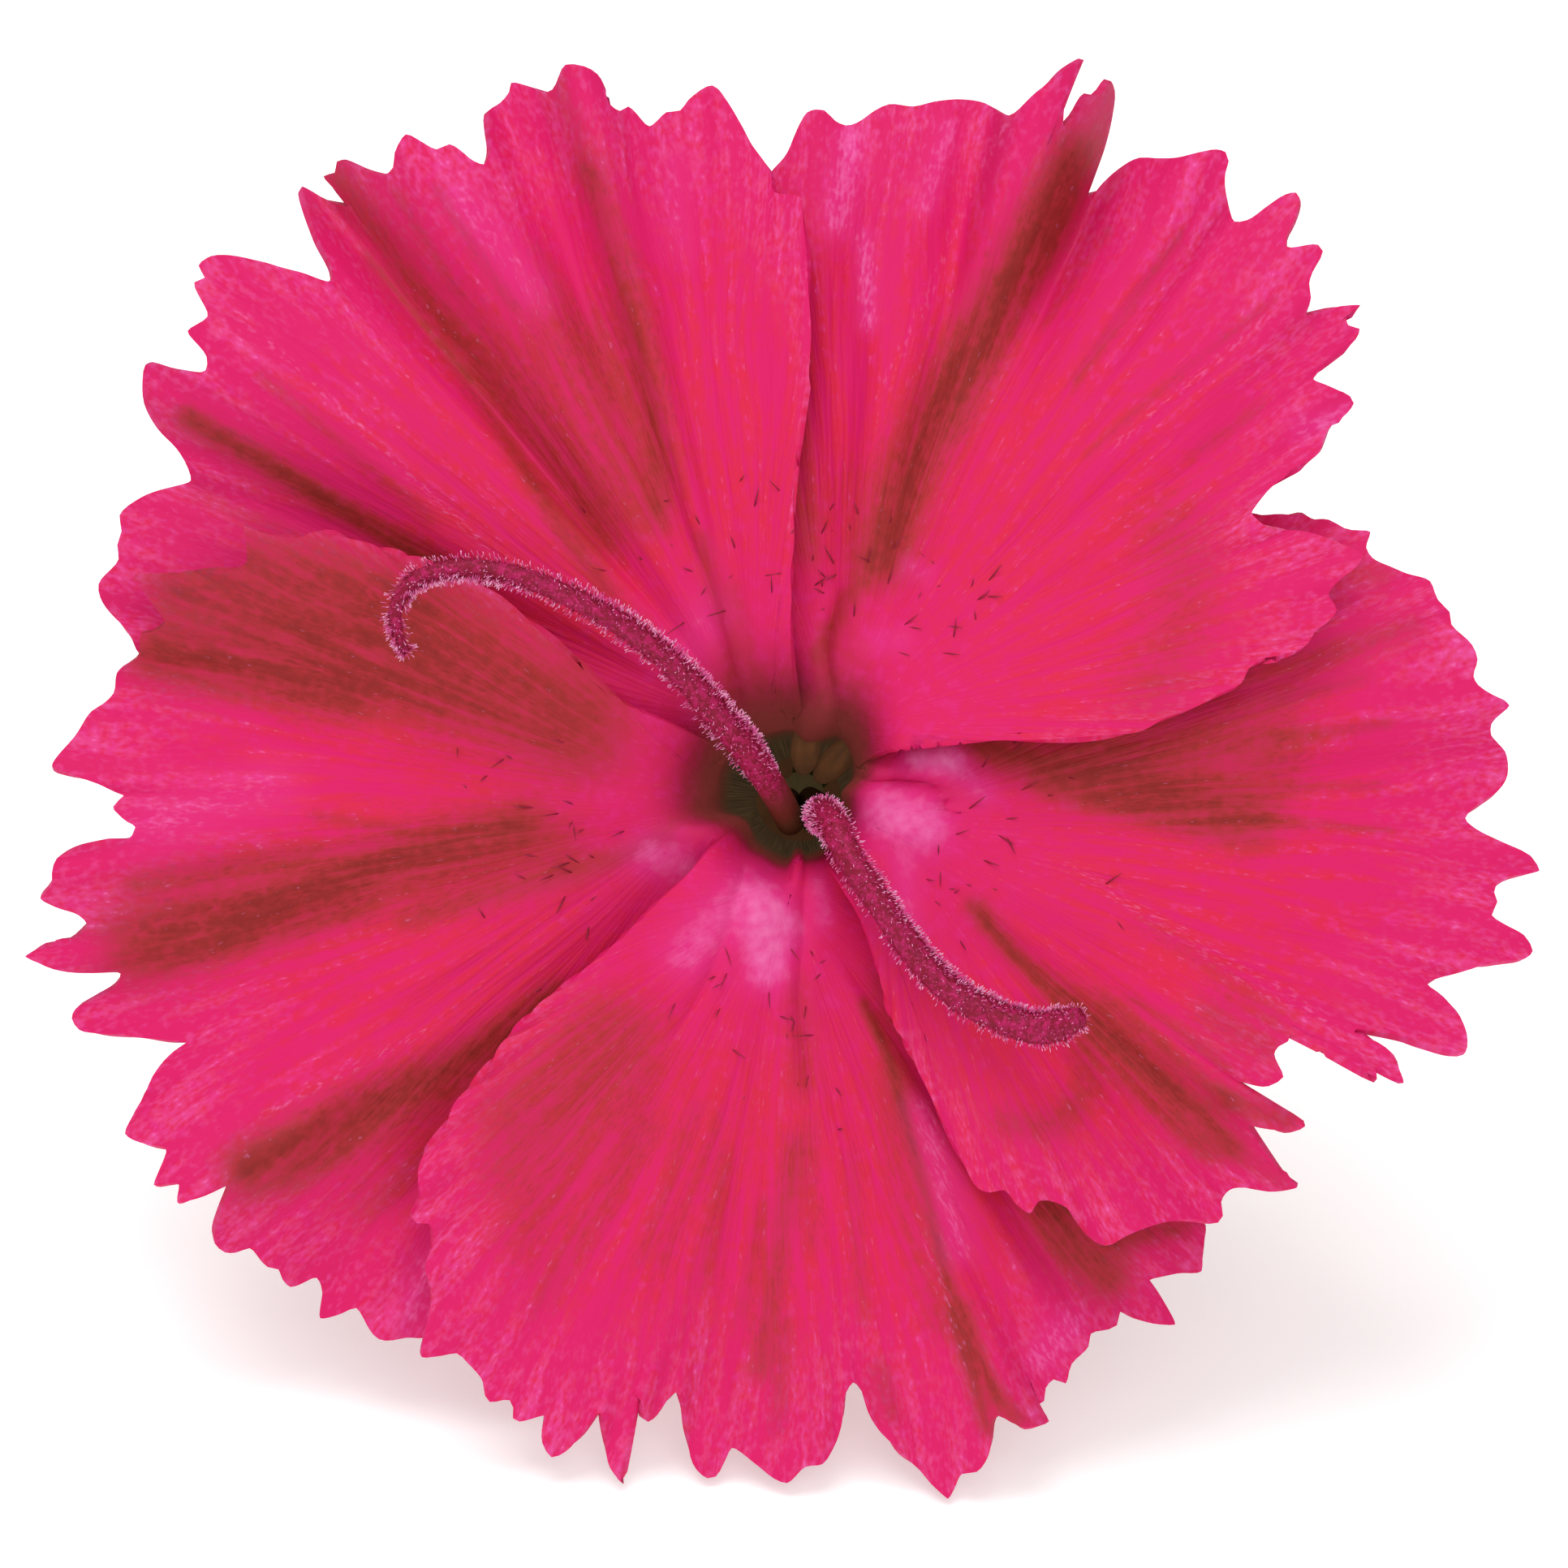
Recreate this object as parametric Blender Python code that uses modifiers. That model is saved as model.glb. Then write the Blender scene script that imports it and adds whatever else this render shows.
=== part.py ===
"""A single dianthus flower, picked with a short stem and laid down on its side.

Every piece is modelled in the flower's own frame, in millimetres: the axis of the
flower is Z, the throat is at the origin, and the face of the flower looks along +Z.
The empty "flower_pose" then lays the whole flower on the surface at Z = 0, where it
rests on two teeth of the lowest petal and on the cut end of the stem.
"""

import math

import bmesh
import bpy
from mathutils import Matrix, Vector

MM = 0.001

# Thickness of every leaf-like wall, and the clearance between two pieces.
BLADE = 0.6
CLEARANCE = 0.3

# The throat: the claws stand in a ring and bend outwards into the petals' limbs.
CLAW_RADIUS = 2.05
CLAW_FOOT_RADIUS = 1.95
CLAW_HALF_ANGLE = 29.0
CLAW_FOOT_HALF_ANGLE = 17.0
CLAW_FOOT_Z = -15.9
CLAW_ROWS = 3
CLAW_COLUMNS = 5
BEND_WIDTH = 1.6
BEND_DEPTH = 1.8

# The limbs: each petal lies under its neighbour on one side and over the other.
LIFT = 0.6
LIFT_ANGLE = 36.0
LIFT_RAMP = 1.15
FOLD_START = 1.5
FOLD_REACH = 15.0
FOLD_POWER = 1.2
DROOP = 1.6
DROOP_START = 4.0
DROOP_RADIUS = 18.0
REACH_LEVELS = (0.0, 0.4, 0.9, 1.8, 3.4, 6.2, 10.0)
# Nearer the claw than this, one grid line in three is kept.
CROWDED_REACH = 1.5
LEAST_RAY_STEP = 0.25

# The calyx and the two pairs of scales at its foot, as mid-wall profiles (radius, height).
CALYX_PROFILE = ((1.35, -17.3), (2.3, -17.15), (2.75, -16.6), (2.95, -15.6), (3.0, -12.5), (3.05, -9.0), (3.05, -5.0))
CALYX_TEETH = 5
CALYX_TOOTH_LENGTH = 3.3
CALYX_TOOTH_FLARE = 0.12
CALYX_RIB = 0.05
CALYX_COLUMNS = 30
INNER_SCALE_PROFILE = ((2.2, -18.9), (3.0, -18.4), (3.55, -17.5), (3.9, -16.2), (4.02, -14.0), (4.1, -11.5), (4.5, -8.6))
OUTER_SCALE_PROFILE = ((1.35, -20.2), (2.9, -20.1), (3.9, -19.3), (4.2, -17.9), (4.25, -15.8), (4.3, -13.2), (4.7, -10.4))
# Share of the scale's length at an angle from its middle: an egg-shaped blade with an awn.
SCALE_OUTLINE = ((0, 1.0), (3, 0.84), (8, 0.74), (18, 0.63), (28, 0.5), (35, 0.33), (39, 0.12), (44, 0.08), (90, 0.08))
SCALE_COLUMNS = 32
SCALE_ROWS = 6
# Rows crowd towards the foot of a scale, where it curves most, and columns towards its awn.
CROWDING = 1.5

# The stem with its swollen head, as a turned profile (radius, height).
STEM_RADIUS = 0.85
STEM_CUT_Z = -31.0
STEM_BEND_START = -20.0
STEM_BEND = (0.9, -0.7)
HEAD_RADIUS = 1.4
STEM_PROFILE = (
    (0.0, -16.1), (1.25, -16.1), (HEAD_RADIUS, -16.25), (HEAD_RADIUS, -16.5), (1.0, -16.8), (1.0, -17.9),
    (2.1, -17.95), (2.2, -18.1), (0.95, -19.5), (STEM_RADIUS, -20.6), (STEM_RADIUS, -24.0), (STEM_RADIUS, -27.5),
    (STEM_RADIUS, STEM_CUT_Z), (0.0, STEM_CUT_Z),
)
STEM_STEPS = 14

# Stamens: a ring at the foot of the ovary with ten filaments, alternately long and short.
STAMEN_COUNT = 10
STAMEN_RING = ((0.98, -15.8), (1.42, -15.8), (1.42, -15.2), (0.98, -15.2))
FILAMENT_CIRCLE = 1.2
FILAMENT_RADIUS = 0.22
ANTHER_RADIUS = 0.36
ANTHER_LENGTH = 1.5
ANTHER_TOPS = (-2.2, -3.9)
ANTHER_CIRCLE = 1.3

# The pistil: the ovary, and two styles that run out of the throat and curl over the petals.
OVARY_PROFILE = (
    (0.0, -9.4), (0.3, -9.6), (0.52, -10.4), (0.66, -12.0), (0.68, -13.6), (0.6, -15.0), (0.45, -15.75), (0.0, -15.8),
)
OVARY_STEPS = 12
STYLE_RADIUS = 0.46
STYLE_FOOT_RADIUS = 0.3
STYLE_UPPER_PATH = (
    (-0.25, 0.0, -10.0), (-0.35, -0.15, -7.0), (-0.3, -0.3, -4.0), (-0.15, -0.25, -1.8), (-0.45, 0.4, -0.1),
    (-1.05, 1.3, 1.3), (-1.95, 2.2, 2.3), (-3.1, 3.3, 3.1), (-4.4, 4.3, 3.7), (-5.6, 4.95, 4.1), (-7.0, 5.5, 4.3),
    (-8.4, 5.65, 4.3), (-9.4, 5.35, 4.2), (-9.85, 4.7, 4.1), (-9.8, 4.05, 4.0), (-9.5, 3.55, 3.8),
)
STYLE_LOWER_PATH = (
    (0.25, 0.0, -10.0), (0.45, -0.15, -7.0), (0.5, -0.3, -4.0), (0.55, -0.35, -1.5), (0.62, -0.4, 0.6),
    (0.85, -0.65, 1.9), (1.3, -1.55, 2.5), (2.0, -2.6, 2.6), (2.85, -3.8, 2.5), (3.8, -4.75, 2.5), (4.8, -5.3, 2.6),
    (5.75, -5.6, 2.8), (6.45, -5.5, 3.1), (6.95, -5.15, 3.5),
)

# Where the flower is laid down: a first lean, then the pose is refined on its three feet.
FIRST_LEAN = 60.0
SETTLE_ROUNDS = 6

# The petals, clockwise from the upper left one as the flower is seen from its face.
# claw: the angle of the claw's middle round the axis. outline: the limb's edge, clockwise,
# from the side that lies under its neighbour to the side that lies over the next one.
# folds: (heading of a ray from the claw, height of the limb there near the margin).
PETALS = {
    "petal_upper_left": {
        "claw": 121.5,
        "outline": (
            (-2.08, 1.3), (-2.8, 1.6), (-4.1, 1.8), (-8.4, 2.4), (-12.4, 2.9), (-15.2, 3.2),
            (-16.26, 3.6), (-17.24, 5.1), (-16.7, 5.8), (-16.76, 6.8), (-14.96, 7.78), (-15.8, 9.4),
            (-16.08, 10.5), (-14.5, 10.56), (-14.98, 11.5), (-14.36, 11.84), (-14.88, 12.64), (-14.68, 13.26),
            (-11.5, 12.7), (-12.28, 15.04), (-11.0, 14.56), (-11.5, 15.5), (-9.96, 15.4), (-9.52, 16.3),
            (-8.7, 16.0), (-7.68, 15.54), (-7.66, 16.8), (-7.0, 17.6), (-6.12, 17.38), (-5.62, 18.0),
            (-4.94, 17.72), (-4.32, 16.88), (-3.66, 16.52), (-2.94, 16.86), (-2.02, 17.52), (-1.56, 16.96),
            (-1.04, 16.0), (-0.56, 15.32), (0.12, 14.62), (0.34, 12.0), (0.08, 8.9), (-0.05, 6.0),
            (-0.1, 4.0), (-0.21, 2.44),
        ),
        "folds": (
            (200, -0.3), (180, -0.3), (165, 0.0), (156, -0.5), (149, 0.5), (143, 0.7), (137, 0.1), (131, -1.2),
            (127, 0.1), (122, 1.0), (117, 0.7), (112, -0.1), (109, 0.1), (105.5, 1.2), (102, 0.3), (98, -0.1),
            (92, 0.1), (86, 0.3), (40, 0.3),
        ),
    },
    "petal_upper_right": {
        "claw": 59.5,
        "outline": (
            (0.17, 2.44), (-0.1, 3.3), (-0.8, 5.5), (-1.3, 9.0), (-1.4, 13.0), (-1.0, 14.6), (-0.58, 15.36),
            (0.28, 16.88), (0.76, 16.94), (1.34, 16.54), (2.14, 17.02), (2.96, 17.02), (4.12, 17.18),
            (5.1, 16.85), (5.5, 16.8), (6.62, 17.9), (7.04, 18.16), (6.56, 16.52), (7.22, 17.34), (7.76, 17.64),
            (7.74, 16.66), (7.16, 14.86), (8.12, 15.5), (9.2, 15.72), (10.54, 15.92), (10.64, 15.1),
            (10.9, 14.14), (11.82, 14.58), (12.46, 14.84), (12.2, 13.52), (13.0, 13.52), (12.68, 12.68),
            (12.52, 11.9), (13.96, 12.12), (13.62, 11.72), (13.92, 11.5), (12.74, 10.2), (13.76, 9.8),
            (13.2, 9.1), (12.9, 8.44), (11.16, 6.9), (13.26, 6.3), (14.0, 5.82), (13.12, 5.1), (13.3, 4.56),
            (12.64, 3.8), (11.08, 3.02), (10.2, 2.42), (8.82, 1.66), (6.4, 1.38), (4.4, 1.38), (3.1, 1.35),
            (2.05, 1.33),
        ),
        "folds": (
            (140, -0.2), (100, -0.2), (80, 0.0), (76, 0.1), (73.8, 1.9), (70.5, 2.1), (69, 1.8), (65.3, -1.0),
            (62.5, -0.3), (58, 0.5), (55, 0.3), (52, 0.0), (48, 0.4), (43, 0.5), (40, 0.1), (35, 0.0), (25, -0.1),
            (15, 0.0), (0, 0.1), (-60, 0.1),
        ),
    },
    "petal_right": {
        "claw": -16.0,
        "outline": (
            (2.33, 0.76), (3.1, 1.2), (4.2, 2.2), (5.4, 3.2), (8.0, 5.0), (9.6, 6.2), (10.4, 6.7), (11.16, 6.9),
            (12.52, 6.94), (13.4, 6.66), (14.2, 6.5), (14.14, 6.06), (15.36, 5.4), (15.72, 5.24), (16.18, 4.4),
            (16.82, 3.6), (16.78, 2.9), (17.64, 2.24), (17.2, 1.74), (17.62, 1.0), (17.6, 0.44), (16.58, -0.54),
            (17.94, -1.34), (18.4, -1.82), (17.36, -2.24), (17.22, -2.96), (18.2, -3.76), (18.04, -4.06),
            (16.36, -4.38), (15.58, -4.7), (16.08, -5.12), (16.52, -5.9), (16.4, -6.38), (15.52, -6.2),
            (13.78, -5.78), (15.04, -6.96), (14.0, -6.5), (14.36, -7.02), (13.1, -6.45), (12.15, -6.0),
            (11.84, -6.4), (11.96, -7.08), (10.7, -6.8), (11.58, -7.84), (12.58, -8.2), (11.2, -8.06),
            (12.42, -9.66), (10.8, -9.7), (10.48, -10.5), (9.22, -10.52), (7.74, -11.08), (6.76, -10.1),
            (5.96, -10.0), (5.14, -9.72), (4.72, -9.76), (3.92, -8.42), (2.78, -6.48), (1.98, -3.94),
            (1.62, -2.7), (1.57, -1.88),
        ),
        "folds": (
            (90, -0.6), (45, -0.6), (35, -0.3), (28, 0.0), (20, 0.2), (12, 0.2), (5, -0.5), (0, -0.3), (-8, 0.2),
            (-18, 0.3), (-26, 0.8), (-31, 0.5), (-38, -0.2), (-44, -1.2), (-50, -0.5), (-56, 0.4), (-62, 0.8),
            (-70, 0.9), (-130, 0.9),
        ),
    },
    "petal_bottom": {
        "claw": -99.0,
        "outline": (
            (1.07, -2.2), (1.5, -2.8), (2.3, -3.5), (4.2, -5.2), (6.4, -7.4), (8.4, -9.4), (9.6, -10.2),
            (10.08, -10.62), (10.04, -11.76), (8.76, -11.94), (9.38, -13.04), (8.04, -12.8), (7.32, -13.34),
            (6.72, -14.48), (6.0, -15.06), (6.18, -15.54), (4.94, -15.34), (4.64, -16.6), (4.16, -16.74),
            (3.78, -17.4), (2.78, -16.44), (2.0, -15.4), (1.42, -14.5), (1.16, -15.36), (0.64, -16.48),
            (-0.18, -16.94), (-1.4, -16.12), (-2.22, -16.88), (-2.6, -16.2), (-2.98, -14.74), (-3.7, -15.44),
            (-3.9, -14.72), (-4.34, -15.9), (-4.4, -17.1), (-4.65, -16.3), (-4.82, -15.24), (-6.0, -16.32),
            (-6.16, -15.34), (-6.9, -15.44), (-7.0, -15.04), (-7.52, -14.98), (-7.8, -14.3), (-8.34, -13.72),
            (-9.2, -13.88), (-9.02, -12.2), (-9.0, -10.56), (-9.4, -10.46), (-9.26, -8.94), (-8.24, -7.5),
            (-5.88, -4.84), (-3.0, -2.5), (-1.7, -1.76),
        ),
        "folds": (
            (20, -0.5), (-40, -0.5), (-55, -0.4), (-62, -0.2), (-64, -0.1), (-66.5, 0.9), (-70, 0.5), (-76, 0.0),
            (-82, -0.4), (-88, 0.1), (-93, -0.2), (-98, -0.5), (-104, 0.0), (-112, 0.3), (-120, 0.4), (-130, 0.9),
            (-138, 1.3), (-145, 1.5), (-220, 1.5),
        ),
    },
    "petal_left": {
        "claw": -176.5,
        "outline": (
            (-2.12, -1.22), (-2.6, -2.0), (-3.1, -3.2), (-4.3, -5.4), (-6.2, -8.4), (-7.5, -11.0), (-8.2, -12.9),
            (-9.2, -13.44), (-10.18, -13.5), (-10.78, -12.74), (-11.66, -13.0), (-11.86, -11.94),
            (-12.6, -12.12), (-13.04, -11.62), (-13.52, -11.16), (-14.06, -11.26), (-14.36, -10.8),
            (-13.98, -9.56), (-15.14, -10.1), (-15.18, -9.6), (-15.76, -9.7), (-15.5, -8.76), (-16.52, -8.44),
            (-16.12, -7.32), (-15.04, -6.12), (-16.48, -5.98), (-17.88, -5.52), (-16.92, -4.74),
            (-16.68, -4.42), (-19.04, -4.02), (-18.08, -3.58), (-17.48, -3.18), (-18.62, -2.5), (-18.32, -1.8),
            (-17.18, -1.16), (-16.26, -0.86), (-16.84, -0.36), (-16.56, -0.06), (-18.34, 0.66), (-17.68, 1.6),
            (-16.76, 2.6), (-16.3, 3.42), (-16.34, 3.96), (-15.5, 4.26), (-16.3, 5.38), (-14.34, 5.56),
            (-13.44, 5.7), (-13.64, 6.66), (-12.18, 6.34), (-11.02, 6.28), (-9.54, 5.76), (-7.14, 4.84),
            (-5.36, 3.22), (-3.56, 1.88), (-2.9, 1.4), (-2.26, 0.96),
        ),
        "folds": (
            (-90, -0.3), (-125, -0.4), (-130, -0.4), (-135, 0.0), (-139, 0.6), (-142.5, 1.5), (-146, 1.1),
            (-152, 0.4), (-158, -0.1), (-162, -0.4), (-167, 0.2), (-172, 0.8), (-177, 1.0), (-182, 0.7),
            (-188, 0.2), (-192, 0.0), (-197, 0.6), (-202, 1.5), (-207, 2.3), (-212, 2.8), (-290, 2.8),
        ),
    },
}

MATERIALS = {
    "petal": {"color": (0.80, 0.03, 0.16), "roughness": 0.55},
    "style": {"color": (0.50, 0.05, 0.22), "roughness": 0.6},
    "stamen": {"color": (0.33, 0.36, 0.10), "roughness": 0.6},
    "calyx": {"color": (0.24, 0.38, 0.10), "roughness": 0.5},
    "scale": {"color": (0.20, 0.36, 0.09), "roughness": 0.5},
    "stem": {"color": (0.22, 0.42, 0.12), "roughness": 0.45},
}


def clear_scene():
    for obj in list(bpy.data.objects):
        bpy.data.objects.remove(obj)


def make_material(name):
    look = MATERIALS[name]
    material = bpy.data.materials.new(name)
    material.use_nodes = True
    shader = material.node_tree.nodes["Principled BSDF"]
    shader.inputs["Base Color"].default_value = (*look["color"], 1.0)
    shader.inputs["Roughness"].default_value = look["roughness"]
    shader.inputs["Metallic"].default_value = 0.0
    return material


def add_object(name, data, collection, material):
    obj = bpy.data.objects.new(name, data)
    data.materials.append(material)
    collection.objects.link(obj)
    return obj


def curve_through(points, at):
    """Height at a place on a smooth curve through (place, height) points in rising or falling order."""
    if points[0][0] > points[-1][0]:
        points = points[::-1]
    if at <= points[0][0]:
        return points[0][1]
    if at >= points[-1][0]:
        return points[-1][1]
    right = next(k for k, point in enumerate(points) if point[0] >= at)
    (x0, y0), (x1, y1) = points[right - 1], points[right]
    before = points[max(right - 2, 0)]
    after = points[min(right + 1, len(points) - 1)]
    slope0 = (y1 - before[1]) / (x1 - before[0])
    slope1 = (after[1] - y0) / (after[0] - x0)
    width = x1 - x0
    t = (at - x0) / width
    return (
        (2 * t**3 - 3 * t**2 + 1) * y0
        + (t**3 - 2 * t**2 + t) * width * slope0
        + (3 * t**2 - 2 * t**3) * y1
        + (t**3 - t**2) * width * slope1
    )


def along_profile(profile, share):
    """(radius, height) at a share of the length of a profile's polyline."""
    lengths = [0.0]
    for (r0, z0), (r1, z1) in zip(profile, profile[1:]):
        lengths.append(lengths[-1] + math.hypot(r1 - r0, z1 - z0))
    at = share * lengths[-1]
    radius = curve_through(tuple(zip(lengths, (p[0] for p in profile))), at)
    height = curve_through(tuple(zip(lengths, (p[1] for p in profile))), at)
    return radius, height


def smooth_step(share):
    share = min(max(share, 0.0), 1.0)
    return share * share * (3 - 2 * share)


def rays_of(petal):
    """The limb's outline as rays from the claw: (heading in degrees, reach, start, end), clockwise."""
    claw = math.radians(petal["claw"])
    base = Vector((math.cos(claw), math.sin(claw))) * CLAW_RADIUS
    headings = []
    reaches = []
    for point in petal["outline"]:
        arm = Vector(point) - base
        heading = math.degrees(math.atan2(arm.y, arm.x))
        near = headings[-1] if headings else petal["folds"][0][0]
        heading += 360 * round((near - heading) / 360)
        if headings:
            heading = min(heading, headings[-1] - LEAST_RAY_STEP)
        headings.append(heading)
        reaches.append(arm.length)
    rays = []
    for heading, reach in zip(headings, reaches):
        share = (heading - headings[0]) / (headings[-1] - headings[0])
        start_angle = claw + math.radians(CLAW_HALF_ANGLE) * (1 - 2 * share)
        start = Vector((math.cos(start_angle), math.sin(start_angle))) * CLAW_RADIUS
        end = base + Vector((math.cos(math.radians(heading)), math.sin(math.radians(heading)))) * reach
        rays.append((heading, start, end, 1 - 2 * share))
    return rays


def limb_height(petal, heading, place, reach):
    """Height of a limb's middle surface at a place in the plan, on the ray of that heading."""
    radius = place.length
    bend = min(max((radius - CLAW_RADIUS) / BEND_WIDTH, 0.0), 1.0)
    throat = -BEND_DEPTH * (1 - math.sqrt(1 - (1 - bend) ** 2))
    around = petal["claw"] - math.degrees(math.atan2(place.y, place.x))
    around -= 360 * round(around / 360)
    lift = LIFT * around / LIFT_ANGLE * smooth_step((radius - CLAW_RADIUS) / LIFT_RAMP)
    grown = max(reach - FOLD_START, 0.0) / (FOLD_REACH - FOLD_START)
    fold = curve_through(petal["folds"], heading) * grown**FOLD_POWER
    droop = -DROOP * (max(radius - DROOP_START, 0.0) / (DROOP_RADIUS - DROOP_START)) ** 2
    return throat + lift + fold + droop


def petal_place(petal, rays, column, row):
    """A point of the petal's middle surface. Rows run up the claw and then out over the limb."""
    if row <= CLAW_ROWS:
        # The claw needs few columns, so several rays share one there.
        kept = round(column / (len(rays) - 1) * CLAW_COLUMNS) / CLAW_COLUMNS
        side = rays[round(kept * (len(rays) - 1))][3]
        up = row / CLAW_ROWS
        radius = CLAW_FOOT_RADIUS + (CLAW_RADIUS - CLAW_FOOT_RADIUS) * up
        half_angle = CLAW_FOOT_HALF_ANGLE + (CLAW_HALF_ANGLE - CLAW_FOOT_HALF_ANGLE) * up
        angle = math.radians(petal["claw"] + half_angle * side)
        height = CLAW_FOOT_Z + (-BEND_DEPTH - CLAW_FOOT_Z) * up
        return Vector((math.cos(angle) * radius, math.sin(angle) * radius, height))
    level = row - CLAW_ROWS
    if level < len(REACH_LEVELS) and REACH_LEVELS[level] < CROWDED_REACH:
        column = min(3 * round(column / 3), len(rays) - 1)
    heading, start, end, _ = rays[column]
    length = (end - start).length
    reach = min(REACH_LEVELS[level], length) if level < len(REACH_LEVELS) else length
    place = start.lerp(end, reach / length)
    return Vector((place.x, place.y, limb_height(petal, heading, place, reach)))


def shell_mesh(name, columns, rows, place, closed_ring=False):
    """An open surface from a grid whose points are placed by a rule, with the doubles merged."""
    mesh = bpy.data.meshes.new(name)
    shell = bmesh.new()
    bmesh.ops.create_grid(shell, x_segments=columns, y_segments=rows, size=1.0)
    for vertex in shell.verts:
        column = round((vertex.co.x + 1) / 2 * columns)
        row = round((vertex.co.y + 1) / 2 * rows)
        if closed_ring:
            column %= columns
        vertex.co = place(column, row) * MM
    bmesh.ops.remove_doubles(shell, verts=shell.verts, dist=1e-7)
    bmesh.ops.dissolve_degenerate(shell, edges=shell.edges, dist=1e-8)
    bmesh.ops.triangulate(shell, faces=shell.faces)
    shell.to_mesh(mesh)
    shell.free()
    mesh.shade_smooth()
    return mesh


def add_wall(obj):
    """Gives an open surface its thickness, half to each side."""
    wall = obj.modifiers.new("wall", "SOLIDIFY")
    wall.thickness = BLADE * MM
    wall.offset = 0.0
    return obj


def make_petal(name, petal, collection, material):
    rays = rays_of(petal)
    rows = CLAW_ROWS + len(REACH_LEVELS)
    mesh = shell_mesh(name, len(rays) - 1, rows, lambda column, row: petal_place(petal, rays, column, row))
    return add_wall(add_object(name, mesh, collection, material))


def calyx_place(column, row):
    """The calyx: a ribbed cup that ends in five pointed teeth."""
    rows = len(CALYX_PROFILE) + 3
    angle = 2 * math.pi * column / CALYX_COLUMNS
    across = (CALYX_TEETH * column / CALYX_COLUMNS) % 1.0
    tooth = (1 - abs(2 * across - 1)) ** 0.8
    cup_rows = len(CALYX_PROFILE) - 1
    if row <= cup_rows:
        radius, height = CALYX_PROFILE[row]
    else:
        share = (row - cup_rows) / (rows - cup_rows)
        radius, height = CALYX_PROFILE[-1]
        height += CALYX_TOOTH_LENGTH * tooth * share
        radius += CALYX_TOOTH_FLARE * tooth * share
    radius += CALYX_RIB * (-1) ** column * (radius > 2.4)
    return Vector((math.cos(angle) * radius, math.sin(angle) * radius, height))


def make_calyx(collection, material):
    rows = len(CALYX_PROFILE) + 3
    mesh = shell_mesh("calyx", CALYX_COLUMNS, rows, calyx_place, closed_ring=True)
    return add_wall(add_object("calyx", mesh, collection, material))


def make_scale_pair(name, profile, middle, collection, material):
    """Two opposite scales that hug the calyx and share a low collar round its foot."""
    half = SCALE_COLUMNS // 2

    def place(column, row):
        side = 1 if column < half else -1
        across = 2 * (column % half) / half - 1
        from_middle = math.copysign(abs(across) ** CROWDING, across) * 90
        length = curve_through(SCALE_OUTLINE, abs(from_middle))
        radius, height = along_profile(profile, length * (row / SCALE_ROWS) ** CROWDING)
        angle = math.radians(middle + from_middle + (0 if side > 0 else 180))
        return Vector((math.cos(angle) * radius, math.sin(angle) * radius, height))

    mesh = shell_mesh(name, SCALE_COLUMNS, SCALE_ROWS, place, closed_ring=True)
    return add_wall(add_object(name, mesh, collection, material))


def turned_mesh(name, profile, steps, closed_profile=False):
    """A solid turned round Z from a profile of (radius, height) points."""
    mesh = bpy.data.meshes.new(name)
    solid = bmesh.new()
    points = [solid.verts.new((radius * MM, 0.0, height * MM)) for radius, height in profile]
    pairs = list(zip(points, points[1:]))
    if closed_profile:
        pairs.append((points[-1], points[0]))
    edges = [solid.edges.new(pair) for pair in pairs]
    bmesh.ops.spin(
        solid, geom=points + edges, cent=(0, 0, 0), axis=(0, 0, 1), angle=2 * math.pi, steps=steps, use_merge=True
    )
    bmesh.ops.remove_doubles(solid, verts=solid.verts, dist=1e-7)
    bmesh.ops.recalc_face_normals(solid, faces=solid.faces)
    solid.to_mesh(mesh)
    solid.free()
    return mesh


def stem_offset(height):
    """How far the stem's middle has bent aside at a height, in millimetres."""
    share = max(STEM_BEND_START - height, 0.0) / (STEM_BEND_START - STEM_CUT_Z)
    return Vector((STEM_BEND[0], STEM_BEND[1], 0.0)) * share**2


def make_stem(collection, material):
    mesh = turned_mesh("stem", STEM_PROFILE, STEM_STEPS)
    for vertex in mesh.vertices:
        vertex.co += stem_offset(vertex.co.z / MM) * MM
    mesh.shade_smooth()
    mesh.set_sharp_from_angle(angle=math.radians(50))
    return add_object("stem", mesh, collection, material)


def make_tube(name, path, radii, collection, material, resolution=2):
    """A closed tube along a path, as a mesh. The radii are shares of the first one given."""
    curve = bpy.data.curves.new(name, "CURVE")
    curve.dimensions = "3D"
    curve.bevel_depth = radii[0] * MM
    curve.bevel_resolution = resolution
    curve.use_fill_caps = True
    spline = curve.splines.new("POLY")
    spline.points.add(len(path) - 1)
    for point, place, radius in zip(spline.points, path, radii):
        point.co = (*(Vector(place) * MM), 1.0)
        point.radius = radius / radii[0]
    guide = bpy.data.objects.new(name + "_guide", curve)
    collection.objects.link(guide)
    bpy.context.view_layer.update()
    graph = bpy.context.evaluated_depsgraph_get()
    mesh = bpy.data.meshes.new_from_object(guide.evaluated_get(graph))
    mesh.name = name
    mesh.materials.clear()
    bpy.data.objects.remove(guide)
    bpy.data.curves.remove(curve)
    welded = bmesh.new()
    welded.from_mesh(mesh)
    bmesh.ops.remove_doubles(welded, verts=welded.verts, dist=1e-6)
    bmesh.ops.recalc_face_normals(welded, faces=welded.faces)
    welded.to_mesh(mesh)
    welded.free()
    return add_object(name, mesh, collection, material)


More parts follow.
